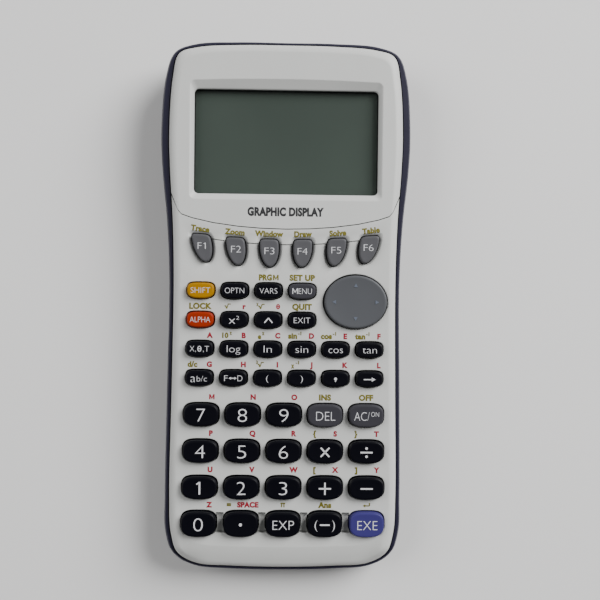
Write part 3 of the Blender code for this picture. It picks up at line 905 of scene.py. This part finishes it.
def hole_rings(outline_at, profile):
    """The mouth and the wall of a hole: (growth, h) pairs, then straight down."""
    rings = [(outline_at(KEY_GAP + grow), h) for grow, h in profile]
    return rings + [(outline_at(KEY_GAP), -FACE_PLATE)]


def rounded_mouth(radius):
    """A small rounding from the face into a hole."""
    return ((radius + 0.13, 0.0), (radius, 0.0), (radius * 0.5, -radius * 0.25),
            (radius * 0.15, -radius * 0.85), (0.0, -radius * 2))


def wide_bevel(width):
    """The sloping surround of a function key."""
    return ((width + 0.15, 0.0), (width, -0.04), (width * 0.5, -0.35), (0.1, -0.66), (0.0, -0.9))


def ledge_cutter():
    """A fine groove that links the function keys just under their top edges."""
    def line(shift):
        return [(x, LEDGE["middle"] + LEDGE["bow"] * x * x + shift)
                for x in range(-LEDGE["reach"], LEDGE["reach"] + 1, LEDGE["step"])]
    outline = line(-LEDGE["half"]) + list(reversed(line(LEDGE["half"])))
    return cut("ledge", outline, LEDGE["bottom"], 1.0, FACE)


def channel_cutters():
    """Shallow channels through the face between the keys of the last row."""
    row = sorted(centre for _, kind, centre in all_keys() if kind is LAST_ROW_KEY)
    half = LAST_ROW_KEY["width"] / 2 + KEY_GAP
    tools = []
    for number, (left, right) in enumerate(zip(row, row[1:]), 1):
        middle = (left[0] + right[0]) / 2
        reach = (right[0] - left[0]) / 2 - half + CHANNEL["overlap"]
        outline = rounded_box(reach, left[1] + CHANNEL["low"], left[1] + CHANNEL["high"],
                              CHANNEL["corner"], 3, middle)
        tools.append(cut(f"channel_{number}", outline, CHANNEL["bottom"], 1.0, FACE))
        for side, (low, high) in SLITS.items():
            slit = rounded_box(reach, left[1] + low, left[1] + high, 0.1, 2, middle)
            tools.append(cut(f"slit_{side}_{number}", slit, SLIT_BOTTOM, 1.0, FACE))
    return tools


class BuildFrontCase(bpy.types.Operator):
    """Keypad face with a rounded mouth round every key, and the channels of the last row"""
    bl_idname = "calculator.front_case"
    bl_label = "Front case"

    def execute(self, context):
        settings = context.scene.calculator_body
        grey = moulded("pale_grey_plastic", tuple(settings.face_colour), 0.48, depth=0.010)
        holes = []
        for _, kind, centre in all_keys():
            mouth = rounded_mouth(settings.hole_rim / MM)
            if kind is FUNCTION_KEY:
                mouth = wide_bevel(settings.bevel / MM)
            holes.append(hole_rings(
                lambda grow, kind=kind, centre=centre: moved(
                    cap_outline(kind, centre[0], grow), centre), mouth))
        centre = disc_centre()
        holes.append(hole_rings(
            lambda grow: moved(disc_outline(grow), centre), rounded_mouth(0.3)))
        front = front_shell("keypad_face", grey, holes, settings.roll / MM)
        apply_tools(front, [
            seam_block("keypad_side", above=False),
            ledge_cutter(),
            *channel_cutters(),
        ])
        settle(front, replaces="front_case")
        return {"FINISHED"}


class BuildDisplay(bpy.types.Operator):
    """Display bezel with its sloped recess, clear window and liquid-crystal panel"""
    bl_idname = "calculator.display"
    bl_label = "Display"

    def execute(self, context):
        settings = context.scene.calculator_body
        grey = bpy.data.materials["pale_grey_plastic"]

        def opening(t, grow):
            half, low, high = (a + (b - a) * t for a, b in zip(OPENING_TOP, OPENING_BOTTOM))
            box = rounded_box(half + grow, low - grow, high + grow, OPENING_CORNER + grow)
            bow = OPENING_BOW * (1 - t)
            box = box[:14] + [
                (half * k / 6, high + grow) for k in range(4, -5, -1)] + box[14:]
            return [(x, y + bow * (1 - (x / half) ** 2) if y > high - 1 else y) for x, y in box]

        rings = [(opening(closed, grow), h) for closed, grow, h in RECESS]
        bezel = front_shell("bezel", grey, [rings], settings.roll / MM)
        apply_tools(bezel, [seam_block("display_side", above=True)])
        settle(bezel, replaces="display_bezel")
        repaint("display_window", window_glass("window_acrylic", (0.03, 0.035, 0.032)))
        repaint("lcd_panel", display_glass("liquid_crystal", tuple(settings.display_colour)))
        half, low, high = OPENING_BOTTOM
        edge = settings.border / MM
        outside = rounded_box(half + BORDER_REACH, low - BORDER_REACH, high + BORDER_REACH, 1.0)
        inside = rounded_box(half - edge, low + edge, high - edge, 0.8)
        solid = Solid(FACE)
        solid.loop([level(outside, BORDER_BOTTOM), level(outside, BORDER_TOP),
                    level(inside, BORDER_TOP), level(inside, BORDER_BOTTOM)])
        border = solid.finish("display_border", ink("border_ink", (0.006, 0.007, 0.007)))
        settle(border)
        return {"FINISHED"}


def cap_rings(kind, x, dish):
    """Growths and heights of a key cap, from under its flange to the middle of its top."""
    high = kind["high"]
    steps = (
        (KEY_FLANGE, FLANGE_BOTTOM), (KEY_FLANGE, FLANGE_TOP), (0.0, FLANGE_TOP),
        (0.0, high - 0.7), (-0.03, high - 0.45), (-0.11, high - 0.25), (-0.24, high - 0.1),
        (-0.42, high - 0.02), (-0.62, high), (-1.1, high - dish * 0.4), (-1.7, high - dish * 0.8),
        (-2.2, high - dish),
    )
    return [(cap_outline(kind, x, grow), h) for grow, h in steps]


class BuildKeys(bpy.types.Operator):
    """Key caps with rolled edges and slightly dished tops"""
    bl_idname = "calculator.keys"
    bl_label = "Keys"

    def execute(self, context):
        settings = context.scene.calculator_keys
        finishes = {
            word: moulded(f"{word}_key_plastic", tuple(getattr(settings, word)), 0.42,
                          grain=0.3, depth=0.007, mottle=0.05, Specular_IOR_Level=0.13)
            for word in ("black", "charcoal", "graphite", "amber", "orange", "blue")
        }
        for name, kind, centre in all_keys():
            word = "charcoal" if kind is FUNCTION_KEY else SPECIAL_COLOURS.get(
                name[4:], "black")
            solid = Solid(FACE)
            solid.stack([
                level(moved(outline, centre), h)
                for outline, h in cap_rings(kind, centre[0], settings.dish / MM)
            ])
            settle(solid.finish(f"{name}_cap", finishes[word]), name, name)
        return {"FINISHED"}


class BuildCursor(bpy.types.Operator):
    """Dished cursor disc with lugs for its pivot, and the finish of the pivot"""
    bl_idname = "calculator.cursor"
    bl_label = "Cursor disc"

    def execute(self, context):
        settings = context.scene.calculator_keys
        finish = moulded("disc_plastic", tuple(settings.disc), 0.42, grain=0.3, depth=0.007,
                         Specular_IOR_Level=0.2)
        centre = disc_centre()
        solid = Solid(FACE)
        steps = [(grow, DISC_BOTTOM + up) for grow, up in DISC_SIDE]
        steps += [(grow, DISC_RIM - down) for grow, down in DISC_TOP]
        solid.stack([level(moved(disc_outline(grow), centre), h) for grow, h in steps])
        disc = solid.finish("disc", finish)
        inner = PIVOT_REACH + GAP
        lugs = []
        for side, word in ((1, "far"), (-1, "near")):
            y = sorted((centre[1] + side * inner, centre[1] + side * (inner + LUG[1])))
            lugs.append(("UNION", block(
                f"lug_{word}", (centre[0] - LUG[0] / 2, y[0], PIVOT_HEIGHT - 0.9),
                (centre[0] + LUG[0] / 2, y[1], DISC_BOTTOM + 0.4), FACE)))
        apply_tools(disc, lugs)
        settle(disc, "cursor_disc", "cursor_disc")
        repaint("cursor_pivot", moulded("pivot_acetal", (0.62, 0.62, 0.60), 0.35))
        return {"FINISHED"}


# ---------------------------------------------------------------- print

CAPITAL = 0.686


class Lettering:
    """Printed words and marks gathered into one mesh, proud of the surface at one height."""

    def __init__(self, h, thickness, weight):
        self.mesh = bmesh.new()
        self.h = h
        self.thickness = thickness
        self.weight = weight

    def take(self, mesh):
        temporary = mesh_data("mark", mesh)
        self.mesh.from_mesh(temporary)
        bpy.data.meshes.remove(temporary)

    def word(self, text, x, y, height, width=None, turn=0.0):
        """Prints a word centred at x, y, with capitals of this height."""
        curve = bpy.data.curves.new("word", "FONT")
        curve.body = text
        curve.resolution_u = 4
        curve.bevel_depth = max(self.weight, 0.0)
        curve.bevel_resolution = 0
        curve.extrude = 0.5 - curve.bevel_depth
        curve.offset = min(self.weight, 0.0)
        curve.space_character = 1 + self.weight
        piece = new_object("word", curve)
        data = bpy.data.meshes.new_from_object(
            piece.evaluated_get(bpy.context.evaluated_depsgraph_get()))
        bpy.data.objects.remove(piece)
        bpy.data.curves.remove(curve)
        letters = bmesh.new()
        letters.from_mesh(data)
        bpy.data.meshes.remove(data)
        bmesh.ops.remove_doubles(letters, verts=letters.verts, dist=1e-5)
        xs = [v.co.x for v in letters.verts]
        low, high = min(xs), max(xs)
        scale = height / CAPITAL
        across = width / (high - low) if width else scale
        place = (
            FACE @ Matrix.Translation((x, y, self.h - self.thickness / 2))
            @ Matrix.Rotation(turn, 4, "Z") @ Matrix.Diagonal((across, scale, self.thickness, 1))
            @ Matrix.Translation((-(low + high) / 2, -CAPITAL / 2, 0))
        )
        bmesh.ops.transform(letters, matrix=Matrix.Scale(MM, 4) @ place, verts=letters.verts)
        self.take(letters)

    def patch(self, outline):
        solid = Solid(FACE)
        solid.stack([level(outline, self.h - self.thickness), level(outline, self.h)])
        bmesh.ops.recalc_face_normals(solid.mesh, faces=solid.mesh.faces)
        self.take(solid.mesh)

    def bar(self, x0, y0, x1, y1, width):
        along = Vector((x1 - x0, y1 - y0)).normalized() * width / 2
        side = Vector((-along.y, along.x))
        first, last = Vector((x0, y0)), Vector((x1, y1))
        self.patch([tuple(p) for p in (first - side, last - side, last + side, first + side)])

    def dot(self, x, y, radius):
        self.patch(circle(radius, 20, (x, y)))

    def theta(self, x, y, height, width, stroke):
        """A ring with a bar across."""
        solid = Solid(FACE)
        rings = []
        for grow, h in ((0, -self.thickness), (0, 0), (-stroke, 0), (-stroke, -self.thickness)):
            up = height / 2 + grow
            outline = superellipse(width + 2 * grow, up, up, (2, 2), 28)
            rings.append(level(moved(outline, (x, y)), self.h + h))
        solid.loop(rings)
        bmesh.ops.recalc_face_normals(solid.mesh, faces=solid.mesh.faces)
        self.take(solid.mesh)
        reach = width / 2 - stroke
        self.bar(x - reach, y, x + reach, y, stroke)

    def em(self, x, y, height, width, stroke):
        """A capital M."""
        half, top, dip = width / 2, height / 2, height * -0.1
        side = [(half, -top), (half, top), (half - stroke, top), (0, dip)]
        inner = [(0, dip - stroke * 1.5), (half - stroke, top - stroke * 1.9), (half - stroke, -top)]
        outline = side + [(-a, b) for a, b in reversed(side[:3])]
        outline += [(-a, b) for a, b in reversed(inner[1:])] + inner
        self.patch(moved(outline, (x, y)))

    def tip(self, x, y, length, turn):
        """An arrowhead whose point is at x, y."""
        spin = Matrix.Rotation(math.radians(turn), 2)
        back = [Vector((0, 0)), Vector((-length, length * 0.55)), Vector((-length, -length * 0.55))]
        self.patch([tuple(spin @ p + Vector((x, y))) for p in back])

    def marks(self, marks, x, y):
        """Prints a list of marks round a place."""
        for kind, *values in marks:
            if kind == "word":
                text, dx, dy, *size = values
                self.word(text, x + dx, y + dy, *size)
            elif kind == "bar":
                x0, y0, x1, y1, width = values
                self.bar(x + x0, y + y0, x + x1, y + y1, width)
            else:
                dx, dy, *rest = values
                getattr(self, kind)(x + dx, y + dy, *rest)

    def label(self, text, x, y, height):
        if text in DRAWN_LABELS:
            self.marks(DRAWN_LABELS[text], x, y)
        else:
            self.word(text, x, y, height)

    def finish(self, name, finish, slot, body=CASE):
        return settle(new_object(name, mesh_data(name, self.mesh), finish), body)


class PrintLegends(bpy.types.Operator):
    """White legends on the key caps"""
    bl_idname = "calculator.legends"
    bl_label = "Legends"

    def execute(self, context):
        settings = context.scene.calculator_print
        white = ink("white_ink", tuple(settings.white))
        for name, kind, (x, y) in all_keys():
            drop = FUNCTION_LEGEND_DROP if kind is FUNCTION_KEY else 0.0
            cap = Lettering(kind["high"] + LEGEND_PROUD, LEGEND_DEPTH, settings.cap_weight)
            cap.marks(CAP_MARKS[name[4:]], x + drop * x * FUNCTION_LEAN, y + drop)
            cap.finish(f"{name}_legend", white, "black_key", name)
        return {"FINISHED"}


class PrintLabels(bpy.types.Operator):
    """Olive and red labels on the face, the title, and the marks on the cursor disc"""
    bl_idname = "calculator.labels"
    bl_label = "Labels"

    def execute(self, context):
        settings = context.scene.calculator_print
        proud = settings.thickness / MM
        olive = Lettering(proud, proud + INK_ROOT, settings.face_weight)
        red = Lettering(proud, proud + INK_ROOT, settings.face_weight)
        for name, kind, (x, y) in all_keys():
            shifted, letter = SHIFTED.get(name[4:]), LETTERS.get(name[4:])
            above, left, right = kind["labels"]
            if letter == "SPACE":
                left, right = SPACE_LABELS
            if kind is FUNCTION_KEY:
                olive.word(shifted, x * FUNCTION_LABEL_SPREAD, y + above, LABEL_HEIGHT,
                           turn=x * FUNCTION_LABEL_TURN)
            elif shifted and letter:
                olive.label(shifted, x + left, y + above, LABEL_HEIGHT)
            elif shifted:
                olive.label(shifted, x, y + above, LONE_LABEL_HEIGHT)
            if letter:
                red.label(letter, x + right, y + above, LETTER_HEIGHT)
        olive.finish("shifted_labels", ink("olive_ink", tuple(settings.olive)), "pale_grey")
        red.finish("letter_labels", ink("red_ink", tuple(settings.red)), "pale_grey")
        title = Lettering(proud, proud + INK_ROOT, settings.title_weight)
        title.word(*TITLE)
        title.finish("title", ink("black_ink", tuple(settings.black)), "pale_grey")
        x, y = disc_centre()
        arrows = Lettering(DISC_RIM - 0.07, 0.2, 0.0)
        for step in range(4):
            reach = DISC_SIZE[step % 2] / 2 - ARROW_INSET
            turn = math.pi / 2 * step
            arrows.tip(x + math.cos(turn) * reach, y + math.sin(turn) * reach, ARROW_LENGTH,
                       90 * step)
        worn = ink("worn_blue_ink", tuple(settings.worn_blue))
        arrows.finish("cursor_arrows", worn, "disc", "cursor_disc")
        return {"FINISHED"}


# ---------------------------------------------------------------- rear half and inside

def rear_rings(solid):
    """The outside of the rear case, from the flat it rests on up to its rim."""
    rings = [solid.ring(level(inset(REAR_OUTLINE, d), z)) for d, z in REAR_ROLL]
    rings += [solid.ring(to_base(at_height(inset(REAR_OUTLINE, d), h))) for d, h in REAR_RIM]
    return rings


def even_shading(piece):
    """Keeps the shading of large flats level right up to their rounded edges."""
    weighted = piece.modifiers.new("even_shading", "WEIGHTED_NORMAL")
    weighted.keep_sharp = True
    weighted.weight = 100


class BuildRearCase(bpy.types.Operator):
    """Navy rear case: a rolled tub with a battery tray, screw recesses and a link socket"""
    bl_idname = "calculator.rear_case"
    bl_label = "Rear case"

    def execute(self, context):
        settings = context.scene.calculator_body
        navy = moulded("navy_plastic", tuple(settings.back_colour), 0.45, grain=0.45, depth=0.014,
                       Specular_IOR_Level=0.35)
        solid = Solid()
        outer = rear_rings(solid)
        wall = inset(FRONT_OUTLINE, 1.2)
        inner = [
            solid.ring(to_base(at_height(inset(FRONT_OUTLINE, -GAP), -2.5))),
            solid.ring(to_base(at_height(inset(FRONT_OUTLINE, -GAP), REAR_LEDGE))),
            solid.ring(to_base(at_height(wall, REAR_LEDGE))),
            solid.ring(level(wall, 4.5)),
            solid.ring(level(inset(FRONT_OUTLINE, 2.6), REAR_FLOOR)),
        ]
        solid.bands(outer + inner)
        solid.cap(outer[0])
        solid.cap(inner[-1])
        rear = solid.finish("rear_shell", navy)
        half, low, high = WELL
        slot = COVER["half_width"] + GAP
        wide, near, far = half + TRAY_WALL, low - TRAY_WALL, high + TRAY_WALL
        tools = [
            ("UNION", block("tray_floor", *TRAY_FLOOR)),
            ("UNION", block("tray_walls", (-wide, near, 2.0), (wide, far, TRAY_TOP))),
            ("DIFFERENCE", block("well", (-half, low, -2.0), (half, high, 14.0))),
            ("DIFFERENCE", block("slot", (-slot, COVER["start"] - GAP, -2.0),
                                 (slot, 100.0, COVER["top"] + GAP))),
        ]
        radius, depth = SCREW_RECESS
        for number, place in enumerate(SCREW_PLACES, 1):
            tools.append(cut(f"screw_recess_{number}", circle(radius, 40, place), -1.0, depth))
        x, y, radius = RESET_HOLE
        tools.append(cut("reset_hole", circle(radius, 40, (x, y)), -1.0, 1.4))
        tools.append(cut("label_recess", rounded_box(*LABEL, 1.5), -1.0, 0.25))
        x, z, radius = LINK_SOCKET
        tools.append(cut("socket_hole", circle(radius + 0.75, 40), 80.0, 90.0, lying(x, z)))
        even_shading(apply_tools(rear, tools))
        settle(rear, replaces="rear_case")
        return {"FINISHED"}


class BuildFittings(bpy.types.Operator):
    """Case screws, the reset button, the link socket and a blank label"""
    bl_idname = "calculator.fittings"
    bl_label = "Fittings"

    def execute(self, context):
        steel = brushed_steel("zinc_plated_steel", (0.50, 0.50, 0.49), 0.34)
        first = self.screw("case_screw_1", steel)
        for number, (x, y) in enumerate(SCREW_PLACES, 1):
            screw = first if number == 1 else new_object(f"case_screw_{number}", first.data)
            screw.matrix_world = Matrix.Translation((x * MM, y * MM, 0)) @ Matrix.Rotation(
                SCREW_TURN * number, 4, "Z")
            settle(screw)
        x, y, radius = RESET_HOLE
        rubber = rubber_sheet("button_rubber", (0.20, 0.20, 0.21))
        solid = Solid(Matrix.Translation((x, y, 0)))
        solid.turn(((radius - 0.3, 1.35), (radius - 0.3, 0.75), (radius - 0.4, 0.58),
                    (radius - 0.65, 0.5)), 32)
        settle(solid.finish("reset_button", rubber))
        half, low, high = LABEL
        foil = Finish("label_foil", (0.20, 0.205, 0.22), 0.4, Metallic=0.3)
        fine = foil.noise(0.4, 3.0)
        foil.feed("Roughness", fine * 0.15 + 0.32)
        cloud = foil.noise(9.0, 3.0)
        foil.feed("Base Color", foil.mix(cloud, (0.18, 0.185, 0.20), (0.22, 0.225, 0.24)))
        foil.bump(fine, 0.004)
        solid = Solid()
        solid.stack([level(rounded_box(half - d, low + d, high - d, 1.4), z)
                     for d, z in ((0.35, 0.24), (0.35, 0.14), (0.42, 0.12))])
        settle(solid.finish("rating_label", foil.material))
        self.socket(steel)
        return {"FINISHED"}

    def screw(self, name, steel):
        """A pan-head screw with a cross recess, head down."""
        solid = Solid()
        solid.turn(SCREW_HEAD)
        long, thin, depth = SCREW_CROSS
        return apply_tools(solid.finish(name, steel), [
            ("DIFFERENCE", block(f"cross_{word}", (-x, -y, -0.5), (x, y, depth)))
            for word, x, y in (("a", long, thin), ("b", thin, long))
        ])

    def socket(self, steel):
        """The three-pole link socket: a plated ring round a dark bore."""
        x, z, radius = LINK_SOCKET
        solid = Solid(lying(x, z))
        solid.loop([level(circle(radius + grow, 40), depth) for grow, depth in (
            (0.65, 84.0), (0.65, 87.0), (0.5, 87.15), (0.0, 87.15), (-0.1, 86.9), (-0.1, 84.0))])
        settle(solid.finish("link_socket_ring", steel))
        dark = rubber_sheet("socket_body", (0.012, 0.012, 0.013))
        solid = Solid(lying(x, z))
        solid.turn(((radius + 0.6, 80.5), (radius + 0.6, 83.9)))
        settle(solid.finish("link_socket_body", dark))


class BuildBatteryCover(bpy.types.Operator):
    """Battery cover that follows the rear case's outside, with grip ridges and an arrow"""
    bl_idname = "calculator.battery_cover"
    bl_label = "Battery cover"

    def execute(self, context):
        navy = bpy.data.materials["navy_plastic"]
        half, start = COVER["half_width"], COVER["start"]
        solid = Solid()
        solid.stack([
            level(rounded_box(half - d, start + d, 100.0, 1.2), z)
            for d, z in ((0.3, COVER["bottom"]), (0.06, COVER["bottom"] + 0.1),
                         (0.0, COVER["bottom"] + 0.3), (0.0, COVER["top"]))
        ])
        cover = solid.finish("cover")
        solid = Solid()
        outer = rear_rings(solid)
        solid.bands(outer)
        solid.cap(outer[0])
        solid.fill(outer[-1])
        tools = [("INTERSECT", solid.finish("envelope"))]
        for number in range(GRIP["count"]):
            y = start + GRIP["start"] + number * GRIP["pitch"]
            reach = GRIP["reach"] - abs(number - GRIP["count"] // 2) * GRIP["taper"]
            groove = rounded_box(reach, y - 0.4, y + 0.4, 0.38, 4)
            tools.append(cut(f"grip_{number}", groove, -1.0, GRIP["depth"]))
        base = start + ARROW["start"]
        arrow = [(-ARROW["half_width"], base), (ARROW["half_width"], base),
                 (0.0, start + ARROW["end"])]
        tools.append(cut("arrow", arrow, -1.0, ARROW["depth"]))
        wide, long = POCKET["half"]
        for number in range(16):
            x = (number % 4 - 1.5) * POCKET["pitch"][0]
            y = start + POCKET["start"] + number // 4 * POCKET["pitch"][1]
            pocket = rounded_box(wide, y - long, y + long, 0.8, 3, x)
            floor = COVER["top"] - POCKET["depth"]
            tools.append(cut(f"pocket_{number}", pocket, floor, COVER["top"] + 1.0))
        even_shading(apply_tools(cover, tools))
        cover.data.materials.clear()
        cover.data.materials.append(navy)
        settle(cover, "battery_cover", "battery_cover")
        return {"FINISHED"}


class BuildContacts(bpy.types.Operator):
    """Nickel-plated contact plates and springs at both ends of the cells"""
    bl_idname = "calculator.contacts"
    bl_label = "Battery contacts"

    def execute(self, context):
        nickel = brushed_steel("nickel_plate", (0.66, 0.63, 0.57), 0.3)
        _, low, high = WELL
        for number in range(1, 5):
            x, _, z = centre_of(f"battery_{number}")
            solid = Solid(lying(x, z))
            solid.stack([level(rounded_box(3.6, -4.0, 4.0, 0.8), -high + d) for d in (0.08, 0.36)])
            settle(solid.finish(f"contact_plate_{number}", nickel))
            settle(self.spring(f"contact_spring_{number}", x, z, low + SPRING["start"], nickel))
        return {"FINISHED"}

    def spring(self, name, x, z, y, nickel):
        """A flattened conical spring, wound from wire."""
        wire = bpy.data.curves.new(name, "CURVE")
        wire.dimensions = "3D"
        wire.bevel_depth = SPRING["wire"] * MM
        wire.bevel_resolution = 3
        wire.use_fill_caps = True
        line = wire.splines.new("POLY")
        count = SPRING["points"]
        line.points.add(count)
        for k in range(count + 1):
            t = k / count
            turn = 2 * math.pi * SPRING["turns"] * t
            radius = SPRING["wide"] + (SPRING["narrow"] - SPRING["wide"]) * t
            point = (x + radius * math.cos(turn), y + SPRING["rise"] * t,
                     z + radius * math.sin(turn))
            line.points[k].co = (*(c * MM for c in point), 1)
        return new_object(name, wire, nickel)


class BuildInside(bpy.types.Operator):
    """Finishes of the keypad mat, circuit board and cells"""
    bl_idname = "calculator.inside"
    bl_label = "Inside"

    def execute(self, context):
        repaint("key_mat", rubber_sheet("mat_rubber", (0.33, 0.33, 0.34)))
        repaint("circuit_board", solder_mask("solder_mask", (0.018, 0.11, 0.045)))
        sleeve = cell_sleeve("cell_sleeve", (0.55, 0.26, 0.05))
        for number in range(1, 5):
            x, _, z = centre_of(f"battery_{number}")
            near, far = ([c / MM for c in corner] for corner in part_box(f"battery_{number}"))
            reach = (far[0] - near[0]) / 2
            solid = Solid(lying(x, z, -1))
            solid.turn([(reach - less, near[1] + along) for less, along in CELL_FOOT]
                       + [(reach - less, far[1] - short) for less, short in CELL_SHOULDER]
                       + [(radius, far[1] - short) for radius, short in CELL_CAP], 48)
            cell = solid.finish(f"cell_{number}", sleeve)
            settle(cell, replaces=f"battery_{number}")
        return {"FINISHED"}


# ---------------------------------------------------------------- stage

FLOOR_HALF = 1.5
KEY_LIGHT = {"place": (1.15, 0.85, 1.0), "size": 1.2}
FILL_LIGHT = {"place": (-1.4, 0.5, 1.2), "size": 1.5}
CAMERA_PLACE = (-3.057, 7.948, 278.25)
CAMERA_TURN = (-1.0506, -1.6411, 0.6280)
CAMERA_LENS = 51.0


def area_light(name, power, place, size):
    """A round light that points at the origin."""
    data = bpy.data.lights.new(name, "AREA")
    data.shape = "DISK"
    data.size = size
    data.energy = power
    light = new_object(name, data)
    light.location = place
    light.rotation_euler = (-Vector(place)).to_track_quat("-Z", "Y").to_euler()


class BuildStage(bpy.types.Operator):
    """Pale table top, soft lights and the camera over the calculator"""
    bl_idname = "calculator.stage"
    bl_label = "Stage"

    def execute(self, context):
        settings = context.scene.calculator_stage
        mesh = bmesh.new()
        bmesh.ops.create_grid(mesh, x_segments=2, y_segments=2, size=FLOOR_HALF)
        laminate = desk("table_laminate", tuple(settings.floor_colour))
        new_object("table_top", mesh_data("table_top", mesh), laminate)
        area_light("key_light", settings.key_power, **KEY_LIGHT)
        area_light("fill_light", settings.fill_power, **FILL_LIGHT)
        world = bpy.data.worlds.new("room")
        context.scene.world = world
        world.use_nodes = True
        background = world.node_tree.nodes["Background"]
        background.inputs[0].default_value = (1, 1, 1, 1)
        background.inputs[1].default_value = settings.sky
        self.camera(context)
        return {"FINISHED"}

    def camera(self, context):
        """Looks almost squarely at the face, from an arm's length."""
        data = bpy.data.cameras.new("camera")
        data.sensor_width = 36.0
        data.lens = CAMERA_LENS
        camera = new_object("camera", data)
        spin = Euler([math.radians(a) for a in CAMERA_TURN], "XYZ").to_matrix().to_4x4()
        place = FACE @ Matrix.Translation(CAMERA_PLACE) @ spin
        camera.matrix_world = Matrix.Translation(place.translation * MM) @ place.to_3x3().to_4x4()
        context.scene.camera = camera


# ---------------------------------------------------------------- add-on

class CalculatorPanel(bpy.types.Panel):
    """Sizes, colours and builders of the calculator"""
    bl_idname = "VIEW3D_PT_calculator"
    bl_label = "Calculator"
    bl_space_type = "VIEW_3D"
    bl_region_type = "UI"
    bl_category = "Calculator"

    def draw(self, context):
        for group in GROUPS:
            settings = getattr(context.scene, GROUPS[group])
            for name in group.__annotations__:
                self.layout.prop(settings, name)
        for operator in OPERATORS:
            self.layout.operator(operator.bl_idname)


GROUPS = {
    CalculatorBody: "calculator_body",
    CalculatorKeys: "calculator_keys",
    CalculatorPrint: "calculator_print",
    CalculatorStage: "calculator_stage",
}
OPERATORS = (
    BuildFrontCase, BuildDisplay, BuildKeys, BuildCursor, PrintLegends, PrintLabels,
    BuildRearCase, BuildFittings, BuildBatteryCover, BuildContacts, BuildInside, BuildStage,
)


def register():
    for cls in (*GROUPS, *OPERATORS, CalculatorPanel):
        bpy.utils.register_class(cls)
    for group, name in GROUPS.items():
        setattr(bpy.types.Scene, name, bpy.props.PointerProperty(type=group))


def unregister():
    for name in GROUPS.values():
        delattr(bpy.types.Scene, name)
    for cls in reversed((*GROUPS, *OPERATORS, CalculatorPanel)):
        bpy.utils.unregister_class(cls)


def main():
    register()
    for operator in OPERATORS:
        call = getattr(bpy.ops.calculator, operator.bl_idname.split(".")[1])
        call()


if __name__ == "__main__":
    main()
